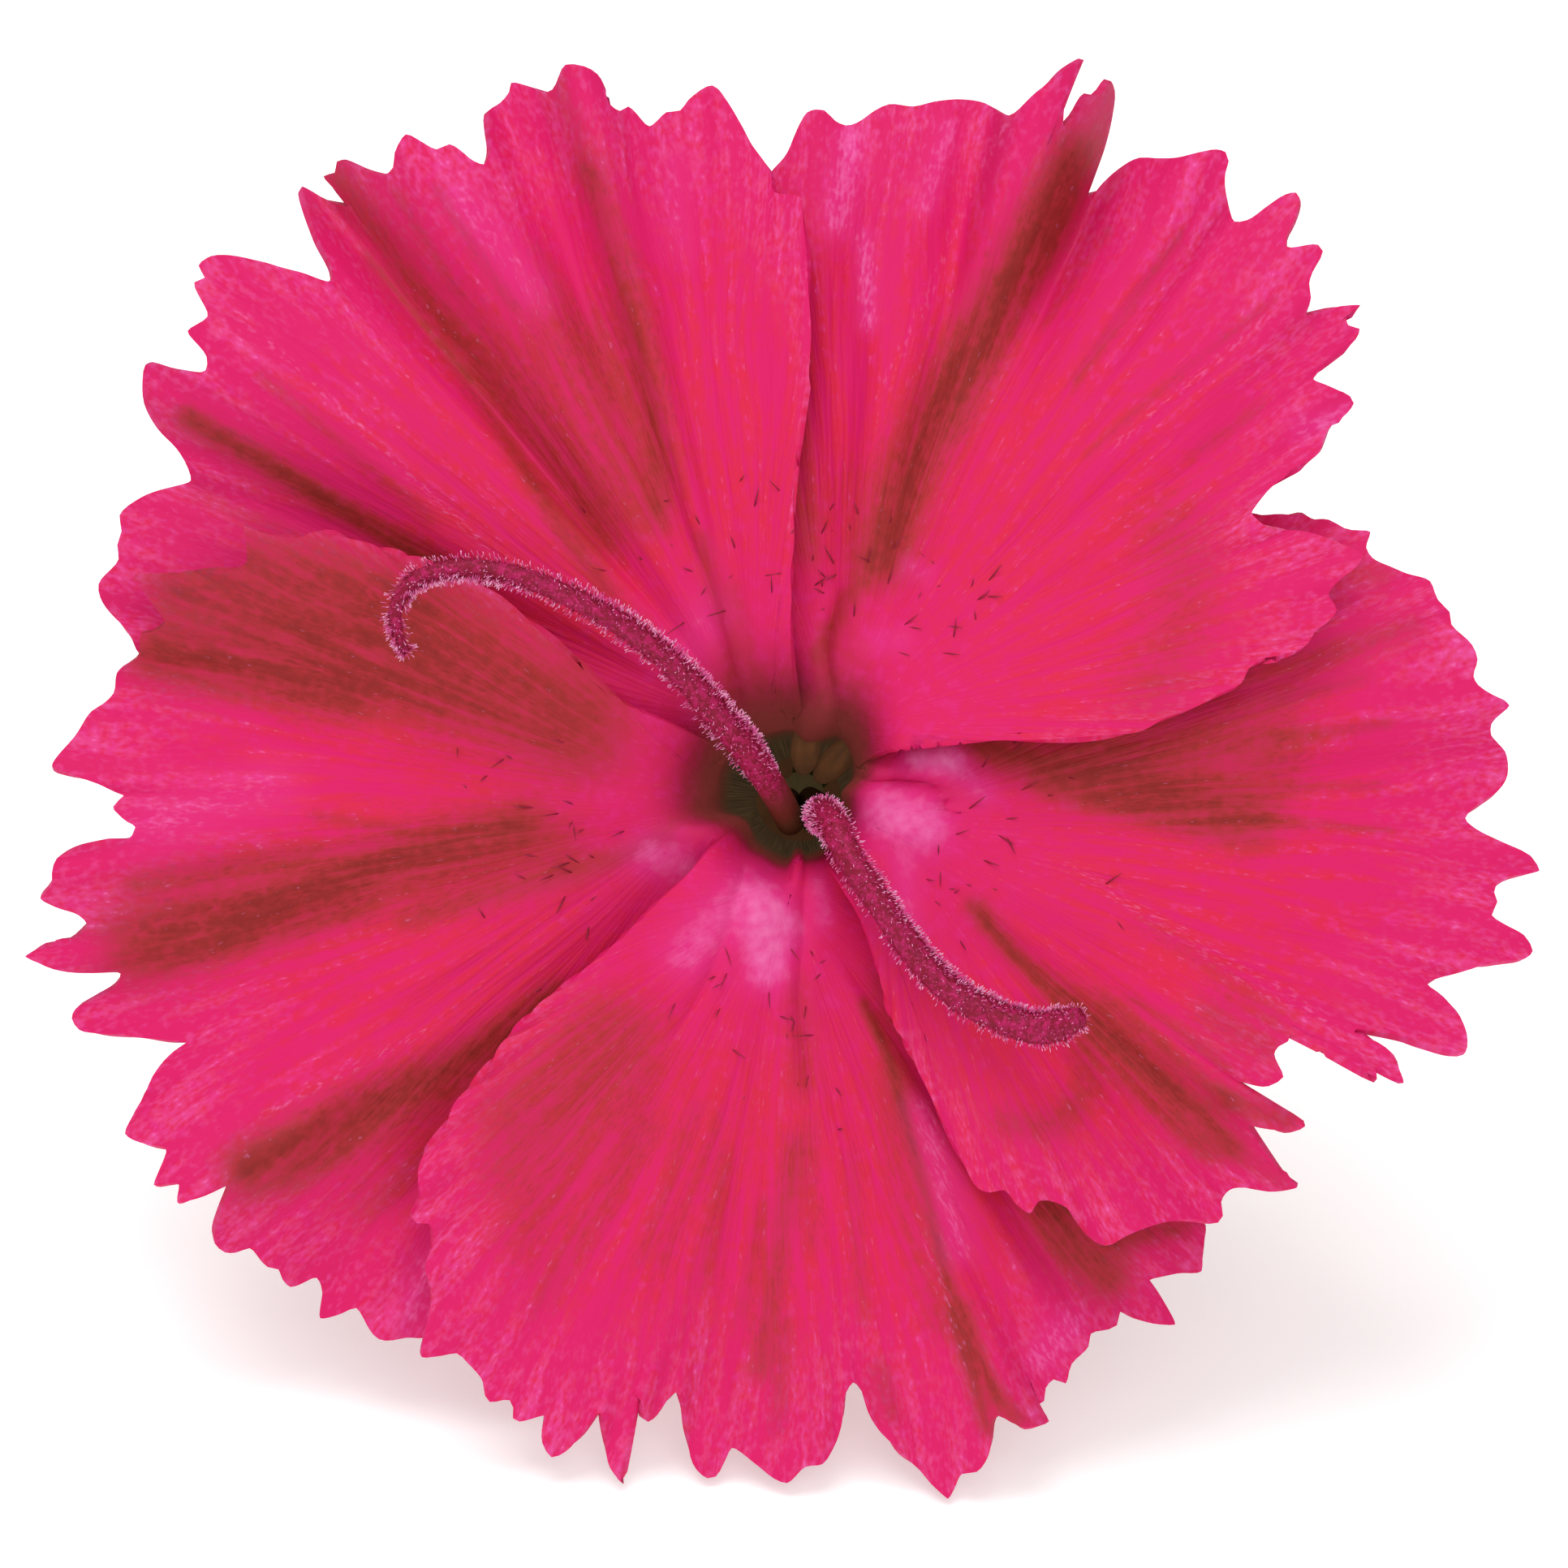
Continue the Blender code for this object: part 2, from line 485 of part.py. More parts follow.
def fuse(base, pieces):
    """Joins the pieces to the base in one solid."""
    joined = bpy.data.collections.new("to_fuse")
    bpy.context.scene.collection.children.link(joined)
    for piece in pieces:
        for home in list(piece.users_collection):
            home.objects.unlink(piece)
        joined.objects.link(piece)
    union = base.modifiers.new("union", "BOOLEAN")
    union.operation = "UNION"
    union.operand_type = "COLLECTION"
    union.solver = "EXACT"
    union.collection = joined
    bpy.context.view_layer.update()
    graph = bpy.context.evaluated_depsgraph_get()
    mesh = bpy.data.meshes.new_from_object(base.evaluated_get(graph))
    base.modifiers.clear()
    base.data = mesh
    for piece in pieces:
        bpy.data.objects.remove(piece)
    bpy.data.collections.remove(joined)
    mesh.shade_smooth()
    mesh.set_sharp_from_angle(angle=math.radians(50))
    return base


def make_pistil(collection, material):
    """The ovary on its seat, with two styles grown from its top."""
    ovary = add_object("pistil", turned_mesh("pistil", OVARY_PROFILE, OVARY_STEPS), collection, material)
    styles = []
    for name, path in (("style_upper", STYLE_UPPER_PATH), ("style_lower", STYLE_LOWER_PATH)):
        radii = []
        for share in (k / (len(path) - 1) for k in range(len(path))):
            grown = STYLE_FOOT_RADIUS + (STYLE_RADIUS - STYLE_FOOT_RADIUS) * smooth_step(share / 0.4)
            tip = 1 - 0.35 * smooth_step((share - 0.85) / 0.15)
            radii.append(grown * tip)
        styles.append(make_tube(name, path, radii, collection, material))
    return fuse(ovary, styles)


def make_anther(name, place, collection, material):
    mesh = bpy.data.meshes.new(name)
    bulb = bmesh.new()
    bmesh.ops.create_uvsphere(bulb, u_segments=6, v_segments=4, radius=1.0)
    size = Matrix.Diagonal((ANTHER_RADIUS * MM, ANTHER_RADIUS * MM, ANTHER_LENGTH / 2 * MM, 1.0))
    bmesh.ops.transform(bulb, matrix=Matrix.Translation(Vector(place) * MM) @ size, verts=bulb.verts)
    bulb.to_mesh(mesh)
    bulb.free()
    return add_object(name, mesh, collection, material)


def make_stamens(collection, material):
    """Ten stamens on a ring: a thin filament each, with an anther that stays inside the throat."""
    ring_mesh = turned_mesh("stamens", STAMEN_RING, STAMEN_COUNT * 2, closed_profile=True)
    ring = add_object("stamens", ring_mesh, collection, material)
    pieces = []
    for number in range(STAMEN_COUNT):
        angle = 2 * math.pi * number / STAMEN_COUNT
        outwards = Vector((math.cos(angle), math.sin(angle), 0.0))
        top = ANTHER_TOPS[number % len(ANTHER_TOPS)]
        anther = outwards * ANTHER_CIRCLE + Vector((0.0, 0.0, top - ANTHER_LENGTH / 2))
        foot = outwards * FILAMENT_CIRCLE + Vector((0.0, 0.0, -15.5))
        middle = outwards * FILAMENT_CIRCLE + Vector((0.0, 0.0, -9.0))
        path = (foot, middle, anther)
        name = f"stamen_{number + 1}"
        pieces.append(make_tube(name, path, [FILAMENT_RADIUS] * len(path), collection, material, resolution=1))
        pieces.append(make_anther(f"anther_{number + 1}", anther, collection, material))
    return fuse(ring, pieces)


def points_of(obj, graph):
    """The finished solid's points in the flower's own frame."""
    evaluated = obj.evaluated_get(graph)
    mesh = evaluated.to_mesh()
    points = [vertex.co.copy() for vertex in mesh.vertices]
    evaluated.to_mesh_clear()
    return points


def laid_on(feet):
    """The turn that sets three feet level, with the flower's own X kept across the view."""
    first, second, third = feet
    up = (second - first).cross(third - first).normalized()
    if up.y < 0:
        up = -up
    across = (Vector((1.0, 0.0, 0.0)) - up * up.x).normalized()
    return Matrix((across, up.cross(across), up))


def lay_down(parts, collection):
    """Lays the flower on the surface, on two teeth of its lowest petal and its cut stem."""
    bpy.context.view_layer.update()
    graph = bpy.context.evaluated_depsgraph_get()
    points = {obj.name: points_of(obj, graph) for obj in parts}
    turn = Matrix.Rotation(math.radians(FIRST_LEAN), 3, "X")
    for _ in range(SETTLE_ROUNDS):
        petal = points["petal_bottom"]
        feet = [
            min((p for p in petal if p.x > 0), key=lambda p: (turn @ p).z),
            min((p for p in petal if p.x < 0), key=lambda p: (turn @ p).z),
            min(points["stem"], key=lambda p: (turn @ p).z),
        ]
        turn = laid_on(feet)
    placed = [turn @ p for group in points.values() for p in group]
    low = Vector([min(p[axis] for p in placed) for axis in range(3)])
    high = Vector([max(p[axis] for p in placed) for axis in range(3)])
    pose = bpy.data.objects.new("flower_pose", None)
    pose.empty_display_size = 0.01
    collection.objects.link(pose)
    pose.location = (-(low.x + high.x) / 2, -(low.y + high.y) / 2, -low.z)
    pose.rotation_euler = turn.to_euler()
    for obj in parts:
        obj.parent = pose
    bpy.context.view_layer.update()
    return pose


def main():
    clear_scene()
    flower = bpy.data.collections.new("dianthus_flower")
    bpy.context.scene.collection.children.link(flower)
    materials = {name: make_material(name) for name in MATERIALS}
    parts = [
        make_stem(flower, materials["stem"]),
        make_scale_pair("epicalyx_outer_pair", OUTER_SCALE_PROFILE, 95.0, flower, materials["scale"]),
        make_scale_pair("epicalyx_inner_pair", INNER_SCALE_PROFILE, 5.0, flower, materials["scale"]),
        make_calyx(flower, materials["calyx"]),
        make_stamens(flower, materials["stamen"]),
        make_pistil(flower, materials["style"]),
    ]
    for name, petal in PETALS.items():
        parts.append(make_petal(name, petal, flower, materials["petal"]))
    lay_down(parts, flower)


main()
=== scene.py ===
"""A picked dianthus flower that lies on a pale surface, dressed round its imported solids.

Shapes are modelled in the flower's own frame, in millimetres: the flower's axis is Z, the
throat is at the origin and the face looks along +Z. FLOWER_POSE lays them down in the world.
"""

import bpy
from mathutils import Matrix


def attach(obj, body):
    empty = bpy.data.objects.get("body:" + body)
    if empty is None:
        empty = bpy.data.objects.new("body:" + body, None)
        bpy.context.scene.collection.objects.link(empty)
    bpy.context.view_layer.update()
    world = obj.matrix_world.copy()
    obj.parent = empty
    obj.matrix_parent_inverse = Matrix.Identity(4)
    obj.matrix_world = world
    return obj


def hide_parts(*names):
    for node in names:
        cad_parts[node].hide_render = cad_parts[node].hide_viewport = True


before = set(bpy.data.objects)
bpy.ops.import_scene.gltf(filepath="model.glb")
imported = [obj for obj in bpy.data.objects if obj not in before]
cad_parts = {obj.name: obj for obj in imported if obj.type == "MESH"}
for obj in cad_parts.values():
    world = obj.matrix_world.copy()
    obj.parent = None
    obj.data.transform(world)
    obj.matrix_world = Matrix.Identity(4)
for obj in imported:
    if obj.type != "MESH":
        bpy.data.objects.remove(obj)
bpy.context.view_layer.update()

import math
import random

import bmesh
import bpy
import numpy as np
from mathutils import Euler, Matrix, Vector

# How the flower lies: it leans on its stem and rolls a little, until three low points touch.
LEAN = 61.68
ROLL = -3.94
STEM_CUT_CENTRE = (0.9, -0.7, -31.0)
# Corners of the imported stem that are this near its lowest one, in metres, belong to its cut end.
CUT_TOLERANCE = 0.00005

# The view: along the flower's axis, with a long lens.
VIEW_WIDTH = 38.64
VIEW_CENTRE = (-0.38, 0.38)
VIEW_DISTANCE = 420.0
SENSOR = 36.0

# The lights: place, width and power of each. The sky and the floor's own glow keep the white plain.
LIGHTS = {
    "window": ((-60, 330, 260), 280, 0.95),
    "front": ((40, 40, 420), 240, 0.45),
}
SKY_STRENGTH = 0.57
FLOOR_GLOW = 0.32
FLOOR_WIDTH = 6.0

# Petals: a claw in the calyx, a bend at the throat, and a fringed limb.
PETAL_WALL = 0.2
CLAW_RADIUS = 2.05
CLAW_FOOT_RADIUS = 1.95
CLAW_FOOT_HALF_ANGLE = 17.0
CLAW_FOOT_Z = -15.9
CLAW_ROWS = 18
# Up the claw, as shares of its height: where it narrows to its neck, and where it has its full width.
NECK_RADIUS = 1.15
NECK_START = 0.3
NECK_END = 0.62
CLAW_WIDE = 0.5
BEND_DEPTH = 1.8
LIFT = 0.6
LIFT_ANGLE = 36.0
LIFT_RAMP = 1.15
FOLD_START = 1.5
FOLD_REACH = 15.0
FOLD_POWER = 1.2
INNER_FOLDS_END = 7.0
INNER_FOLDS_FADE = 9.0
SWELLING_RAMP = 0.6
DROOP = 1.6
DROOP_START = 4.0
DROOP_RADIUS = 18.0
WAVE_HEIGHT = 0.035
LIMB_ROWS = 40
LIMB_ROW_POWER = 1.35
TOOTH_ROWS = 9
OUTLINE_STEP = 0.16
TOOTH_DEPTH = 1.5
PALE_START = 5.0
PALE_MARGIN = 3.0
RIDGE_HALF_WIDTH = 0.09
RIM_ANGLE = 60.0
MAP_LENGTH = 17.0

# Calyx and its scales, as mid-wall profiles (radius, height).
AROUND_CALYX = 240
CALYX_PROFILE = (
    (1.35, -17.3), (2.3, -17.15), (2.75, -16.6), (2.95, -15.6), (3.0, -12.5), (3.05, -9.0), (3.05, -5.0),
)
CALYX_ROWS = 40
CALYX_TEETH = 5
CALYX_TOOTH_ROWS = 24
CALYX_TOOTH_LENGTH = 3.3
CALYX_TOOTH_FLARE = 0.12
CALYX_WALL = 0.45
CALYX_RIBS = 35
CALYX_RIB_HEIGHT = 0.045
INNER_SCALE_PROFILE = (
    (2.2, -18.9), (3.0, -18.4), (3.55, -17.5), (3.9, -16.2), (4.02, -14.0), (4.1, -11.5), (4.5, -8.6),
)
OUTER_SCALE_PROFILE = (
    (1.35, -20.2), (2.9, -20.1), (3.9, -19.3), (4.2, -17.9), (4.25, -15.8), (4.3, -13.2), (4.7, -10.4),
)
# How far up the profile a scale reaches, at an angle from its middle.
SCALE_OUTLINE = (
    (0, 1.0), (3, 0.84), (8, 0.74), (18, 0.63), (28, 0.52), (38, 0.4), (50, 0.28), (65, 0.19), (78, 0.15),
    (90, 0.14),
)
SCALE_ROWS = 50
SCALE_WALL = 0.4
KEEL_HEIGHT = 0.12
KEEL_ANGLE = 7

# The stem with its swollen head (radius, height).
STEM_RADIUS = 0.85
STEM_CUT_Z = -31.0
STEM_BEND_START = -20.0
STEM_BEND = (0.9, -0.7)
STEM_PROFILE = (
    (0.0, -16.1), (1.25, -16.1), (1.4, -16.3), (1.35, -16.6), (1.0, -16.85), (1.0, -17.8), (1.5, -17.95),
    (2.1, -17.95), (2.25, -18.2), (2.15, -18.8), (1.85, -19.6), (1.5, -20.3), (1.15, -21.1), (0.95, -21.9),
    (STEM_RADIUS, -22.8), (STEM_RADIUS, -24.0), (STEM_RADIUS, -27.5), (STEM_RADIUS, -30.9),
    (0.8, STEM_CUT_Z), (0.0, STEM_CUT_Z),
)

# Stamens, in a ring round the ovary.
FILAMENT_CIRCLE = 1.2
FILAMENT_NECK_CIRCLE = 0.9
FILAMENT_RADIUS = 0.16
FILAMENT_FOOT_Z = -15.5
FILAMENT_MIDDLE_Z = -9.0
FILAMENT_NECK_Z = -5.0
FILAMENT_NECK_DROP = 1.8
ANTHER_RADIUS = 0.37
ANTHER_LENGTH = 1.7
ANTHER_TOPS = (-6.4, -1.9, -1.6, -6.1, -6.9, -6.2, -7.0, -6.3, -6.8, -6.0)
ANTHER_CIRCLE = 1.3
ANTHER_TILT = 0.8

# Pistil: the ovary's profile (radius, height), and the two styles. radius: (share of the style's length,
# radius). brush: (share, x, y) says which way the hairs crowd. hairs: the share where they start, how
# many there are and how long they are.
OVARY_PROFILE = (
    (0.0, -9.4), (0.3, -9.6), (0.52, -10.4), (0.66, -12.0), (0.68, -13.6), (0.6, -15.0), (0.45, -15.75),
    (0.0, -15.8),
)
STYLES = {
    "style_upper": dict(
        path=(
            (-0.25, 0.0, -10.0), (-0.35, -0.15, -7.0), (-0.3, -0.4, -4.0), (-0.25, -0.5, -1.8),
            (-0.58, 0.15, -0.2), (-1.25, 1.15, 1.2), (-2.05, 2.12, 2.3), (-3.1, 3.3, 3.1), (-4.4, 4.3, 3.7),
            (-5.6, 4.95, 4.1), (-7.0, 5.5, 4.3), (-8.4, 5.65, 4.3), (-9.4, 5.35, 4.2), (-9.85, 4.7, 4.1),
            (-9.8, 4.05, 4.0), (-9.6, 3.6, 3.8),
        ),
        radius=(
            (0, 0.3), (0.4, 0.37), (0.5, 0.37), (0.6, 0.31), (0.75, 0.26), (0.9, 0.2), (0.97, 0.15),
            (1.0, 0.08),
        ),
        brush=(
            (0.4, 0.75, 0.75), (0.6, 0.5, 0.8), (0.75, 0.2, 0.2), (0.85, 0.2, -0.9), (0.92, 0.3, -0.8),
            (1.0, -0.9, -0.3),
        ),
        hairs=(0.44, 3000, 0.24),
        seed=11,
    ),
    "style_lower": dict(
        path=(
            (0.25, 0.0, -10.0), (0.45, -0.15, -7.0), (0.5, -0.3, -4.0), (0.55, -0.35, -1.5),
            (0.62, -0.4, 0.6), (0.85, -0.65, 1.9), (1.3, -1.55, 2.5), (2.0, -2.6, 2.6), (2.85, -3.8, 2.5),
            (3.8, -4.75, 2.5), (4.8, -5.3, 2.6), (5.75, -5.6, 2.8), (6.45, -5.5, 3.1), (6.85, -5.3, 3.4),
        ),
        radius=(
            (0, 0.32), (0.4, 0.38), (0.5, 0.37), (0.75, 0.33), (0.88, 0.36), (0.97, 0.39), (1.0, 0.24),
        ),
        brush=((0.4, -0.3, 0.9), (0.52, -0.7, -0.4), (0.7, 0.5, 0.5), (0.85, 0.5, 0.7), (1.0, 0.8, 0.4)),
        hairs=(0.42, 2900, 0.21),
        seed=12,
    ),
}
# The styles take a painted shade from this height down into the throat, over this depth.
STYLE_DARK_TOP = 0.9
STYLE_DARK_DEPTH = 2.2
# Hairs: how deep their roots sit, their half width, and their length as shares of the style's own.
HAIR_SINK = 0.03
HAIR_THICK = (0.009, 0.015)
HAIR_TALL = (0.5, 1.2)

# The small dark hairs on the petals.
BARB_SEED = 5
BARB_SINK = 0.02
BARB_THICK = (0.014, 0.022)
BARB_TALL = (0.18, 0.6)
BARB_FARTHEST = 7.0

# Corners this near each other are merged, where a ring closes and where petal rows meet.
RING_MERGE = 0.0001
PETAL_MERGE = 0.0005

# The throat: (angle round the flower, radius of its rim, width of the shoulder outside the rim, and how
# far the throat's painted shade comes out over the petals).
THROAT = (
    (8, 1.17, 0.95, 0.45), (20, 1.55, 1.1, 0.55), (40, 1.8, 1.7, 0.85), (60, 1.95, 1.9, 1.25),
    (73, 1.62, 2.0, 1.6), (84, 1.55, 2.2, 1.75), (93, 1.8, 2.4, 1.55), (99, 1.85, 2.5, 1.5),
    (115, 1.9, 2.7, 1.55), (135, 2.0, 2.6, 1.4), (157, 2.15, 2.2, 1.0), (175, 2.12, 1.9, 1.1),
    (190, 2.08, 1.6, 1.0), (199, 1.66, 1.2, 0.7), (208, 1.56, 1.0, 0.4), (225, 1.65, 0.95, 0.25),
    (240, 1.65, 0.9, 0.18), (259, 1.64, 0.9, 0.22), (265, 1.5, 0.9, 0.15), (268.5, 1.33, 0.9, 0.15),
    (272, 1.45, 0.9, 0.15), (276, 1.52, 0.9, 0.15), (295, 1.5, 0.9, 0.15), (308, 1.45, 0.9, 0.15),
    (330, 1.35, 0.9, 0.2), (355, 1.17, 0.9, 0.35),
)
NARROW_SHOULDER = 0.9
WIDE_SHOULDER = 2.6
# The throat's painted shade is a strong core and a faint halo. Both reach out in proportion to THROAT's
# last number.
DARK_CORE = 0.7
DARK_CORE_REACH = 0.85
DARK_HALO_REACH = 2.4
CLAW_DARK_DEPTH = 2.6

# Each petal, with its edge anticlockwise from the side that lies over its neighbour.
# claw and sides: angles of the claw's middle and of its two sides at the rim of the throat.
# folds: (heading of a ray from the claw, height of the limb there near the margin).
# inner_folds: the same, half way out, where the folds run askew.
# swellings: (x, y, radius, height) of soft bumps.
# Paths are (heading, reach) from the claw. creases: (path, half width, depth).
# Two lists of strokes, each (path, half width, strength): deep red painted shade, then pale pink that is
# partly the tissue's own and partly painted light. A half width may be a pair, for the path's two ends.
# ridges: paths of folds with painted glints.
# barbs: lowest and highest heading, how many, and how near the claw.
UPPER_LEFT_PETAL = dict(
    claw=121.5,
    sides=(90.5, 160.0),
    edge=(
        (0, 2.1), (-0.14, 3.3), (-0.2, 4.5), (-0.18, 5.7), (-0.14, 6.76), (-0.1, 7.92), (-0.04, 8.98),
        (0.04, 9.62), (0.22, 10.42), (0.26, 11.22), (0.24, 12.3), (0.22, 13.46), (0.12, 14.16),
        (0, 14.84), (-0.58, 14.96), (-0.68, 15.44), (-1.14, 16.1), (-1.6, 16.94), (-2.12, 17.62),
        (-2.74, 17.26), (-2.94, 17), (-3.28, 16.96), (-3.74, 16.6), (-4.16, 17.02), (-4.26, 17.08),
        (-4.5, 16.96), (-4.72, 17.1), (-4.84, 17.48), (-5.04, 17.86), (-5.34, 18.06), (-5.72, 18.12),
        (-6.02, 17.54), (-6.22, 17.46), (-6.48, 17.56), (-7.1, 17.72), (-7.16, 17.48), (-7.4, 17.22),
        (-7.74, 16.98), (-7.74, 16.64), (-7.68, 16.02), (-7.82, 15.64), (-8.06, 15.72), (-8.4, 16.02),
        (-8.62, 16.16), (-8.94, 16.04), (-9.24, 16.18), (-9.7, 16.42), (-9.94, 16), (-9.98, 15.64),
        (-10.2, 15.46), (-10.6, 15.54), (-11.4, 15.84), (-11.46, 15.56), (-11.74, 15.5), (-11.1, 14.74),
        (-11.9, 14.94), (-12.4, 15.16), (-12, 13.9), (-11.58, 12.94), (-11.62, 12.76), (-12.38, 13.04),
        (-13.36, 13.26), (-14.52, 13.44), (-14.84, 13.2), (-14.7, 12.88), (-14.96, 12.76),
        (-14.62, 11.92), (-15.1, 11.58), (-14.62, 10.94), (-14.66, 10.6), (-15.42, 10.62),
        (-16.14, 10.78), (-16.22, 10.4), (-16.18, 9.86), (-15.86, 9.24), (-15.42, 8.7), (-15.04, 7.94),
        (-15.24, 7.8), (-16.3, 7.46), (-16.84, 7), (-16.78, 6.62), (-16.88, 6.28), (-16.84, 5.94),
        (-17.34, 5.34), (-17.3, 5.04), (-16.94, 4.5), (-16.58, 4.06), (-16.3, 3.62), (-15.2, 3.2),
        (-12.4, 2.9), (-8.4, 2.4), (-4.1, 1.8), (-2.8, 1.6), (-2.08, 1.3),
    ),
    folds=(
        (200, -0.3), (180, -0.3), (165, 0.0), (156, -0.5), (149, 0.5), (143, 0.7), (137, 0.4), (133, 0.0),
        (129.5, -1.1), (125, -0.2), (121, 0.7), (117, 0.8), (112, -0.1), (109, 0.1), (105.5, 1.2),
        (102, 0.4), (98, 0.0), (92, 0.1), (86, 0.3), (40, 0.3),
    ),
    creases=((((143, 0.4), (112, 1.5), (107, 3.0), (106, 4.4)), 0.2, 0.22),),
    barbs=(80, 150, 26, 2.2),
    painted_shade=(
        (((129, 6), (127, 8.5), (126.5, 11), (127, 14), (127.5, 17.5)), (0.65, 0.8), 0.58),
        (((127, 10), (127, 17)), 0.25, 0.4),
        (((123, 6.8), (119.5, 11)), 1.7, 0.42),
        (((114, 7), (111.5, 10.3)), 1.25, 0.47),
        (((130, 0.8), (112, 1.6), (107, 3.2), (106, 4.8)), (0.42, 0.3), 0.55),
        (((86, 1.0), (95, 2.2), (99, 3.4)), 0.3, 0.4),
        (((115, 5.7), (109.5, 7.1), (106.8, 9.4), (106, 11.6), (106.3, 14.3)), 0.4, 0.7),
        (((106.3, 14.5), (106.5, 16.8)), 0.4, 0.4),
        (((137, 5), (134.5, 7), (131.5, 9), (129.5, 12), (129.5, 15)), 0.25, 0.6),
        (((152.5, 8.5), (152, 11), (151.5, 13.5), (151, 16)), 0.4, 0.95),
        (((147, 9.5), (145.5, 12), (144.5, 15)), 0.25, 0.45),
        (((114, 9), (114.5, 13)), 0.3, 0.3),
        (((120, 12), (120.5, 15.5)), 0.2, 0.5),
        (((124, 13), (123.5, 16)), 0.15, 0.4),
        (((157, 11), (157.5, 15)), 0.35, 0.35),
        (((140, 1.0), (142, 2.6), (140, 4.5)), 0.45, 0.4),
    ),
    pale_and_painted_light=(
        (((126, 2.6), (113, 3)), 0.7, 0.3),
        (((119, 15), (117, 12)), 0.6, 0.3),
        (((99, 12), (98, 14)), 0.6, 0.25),
    ),
    ridges=(((146, 8), (143, 12), (141.3, 16.4)),),
)

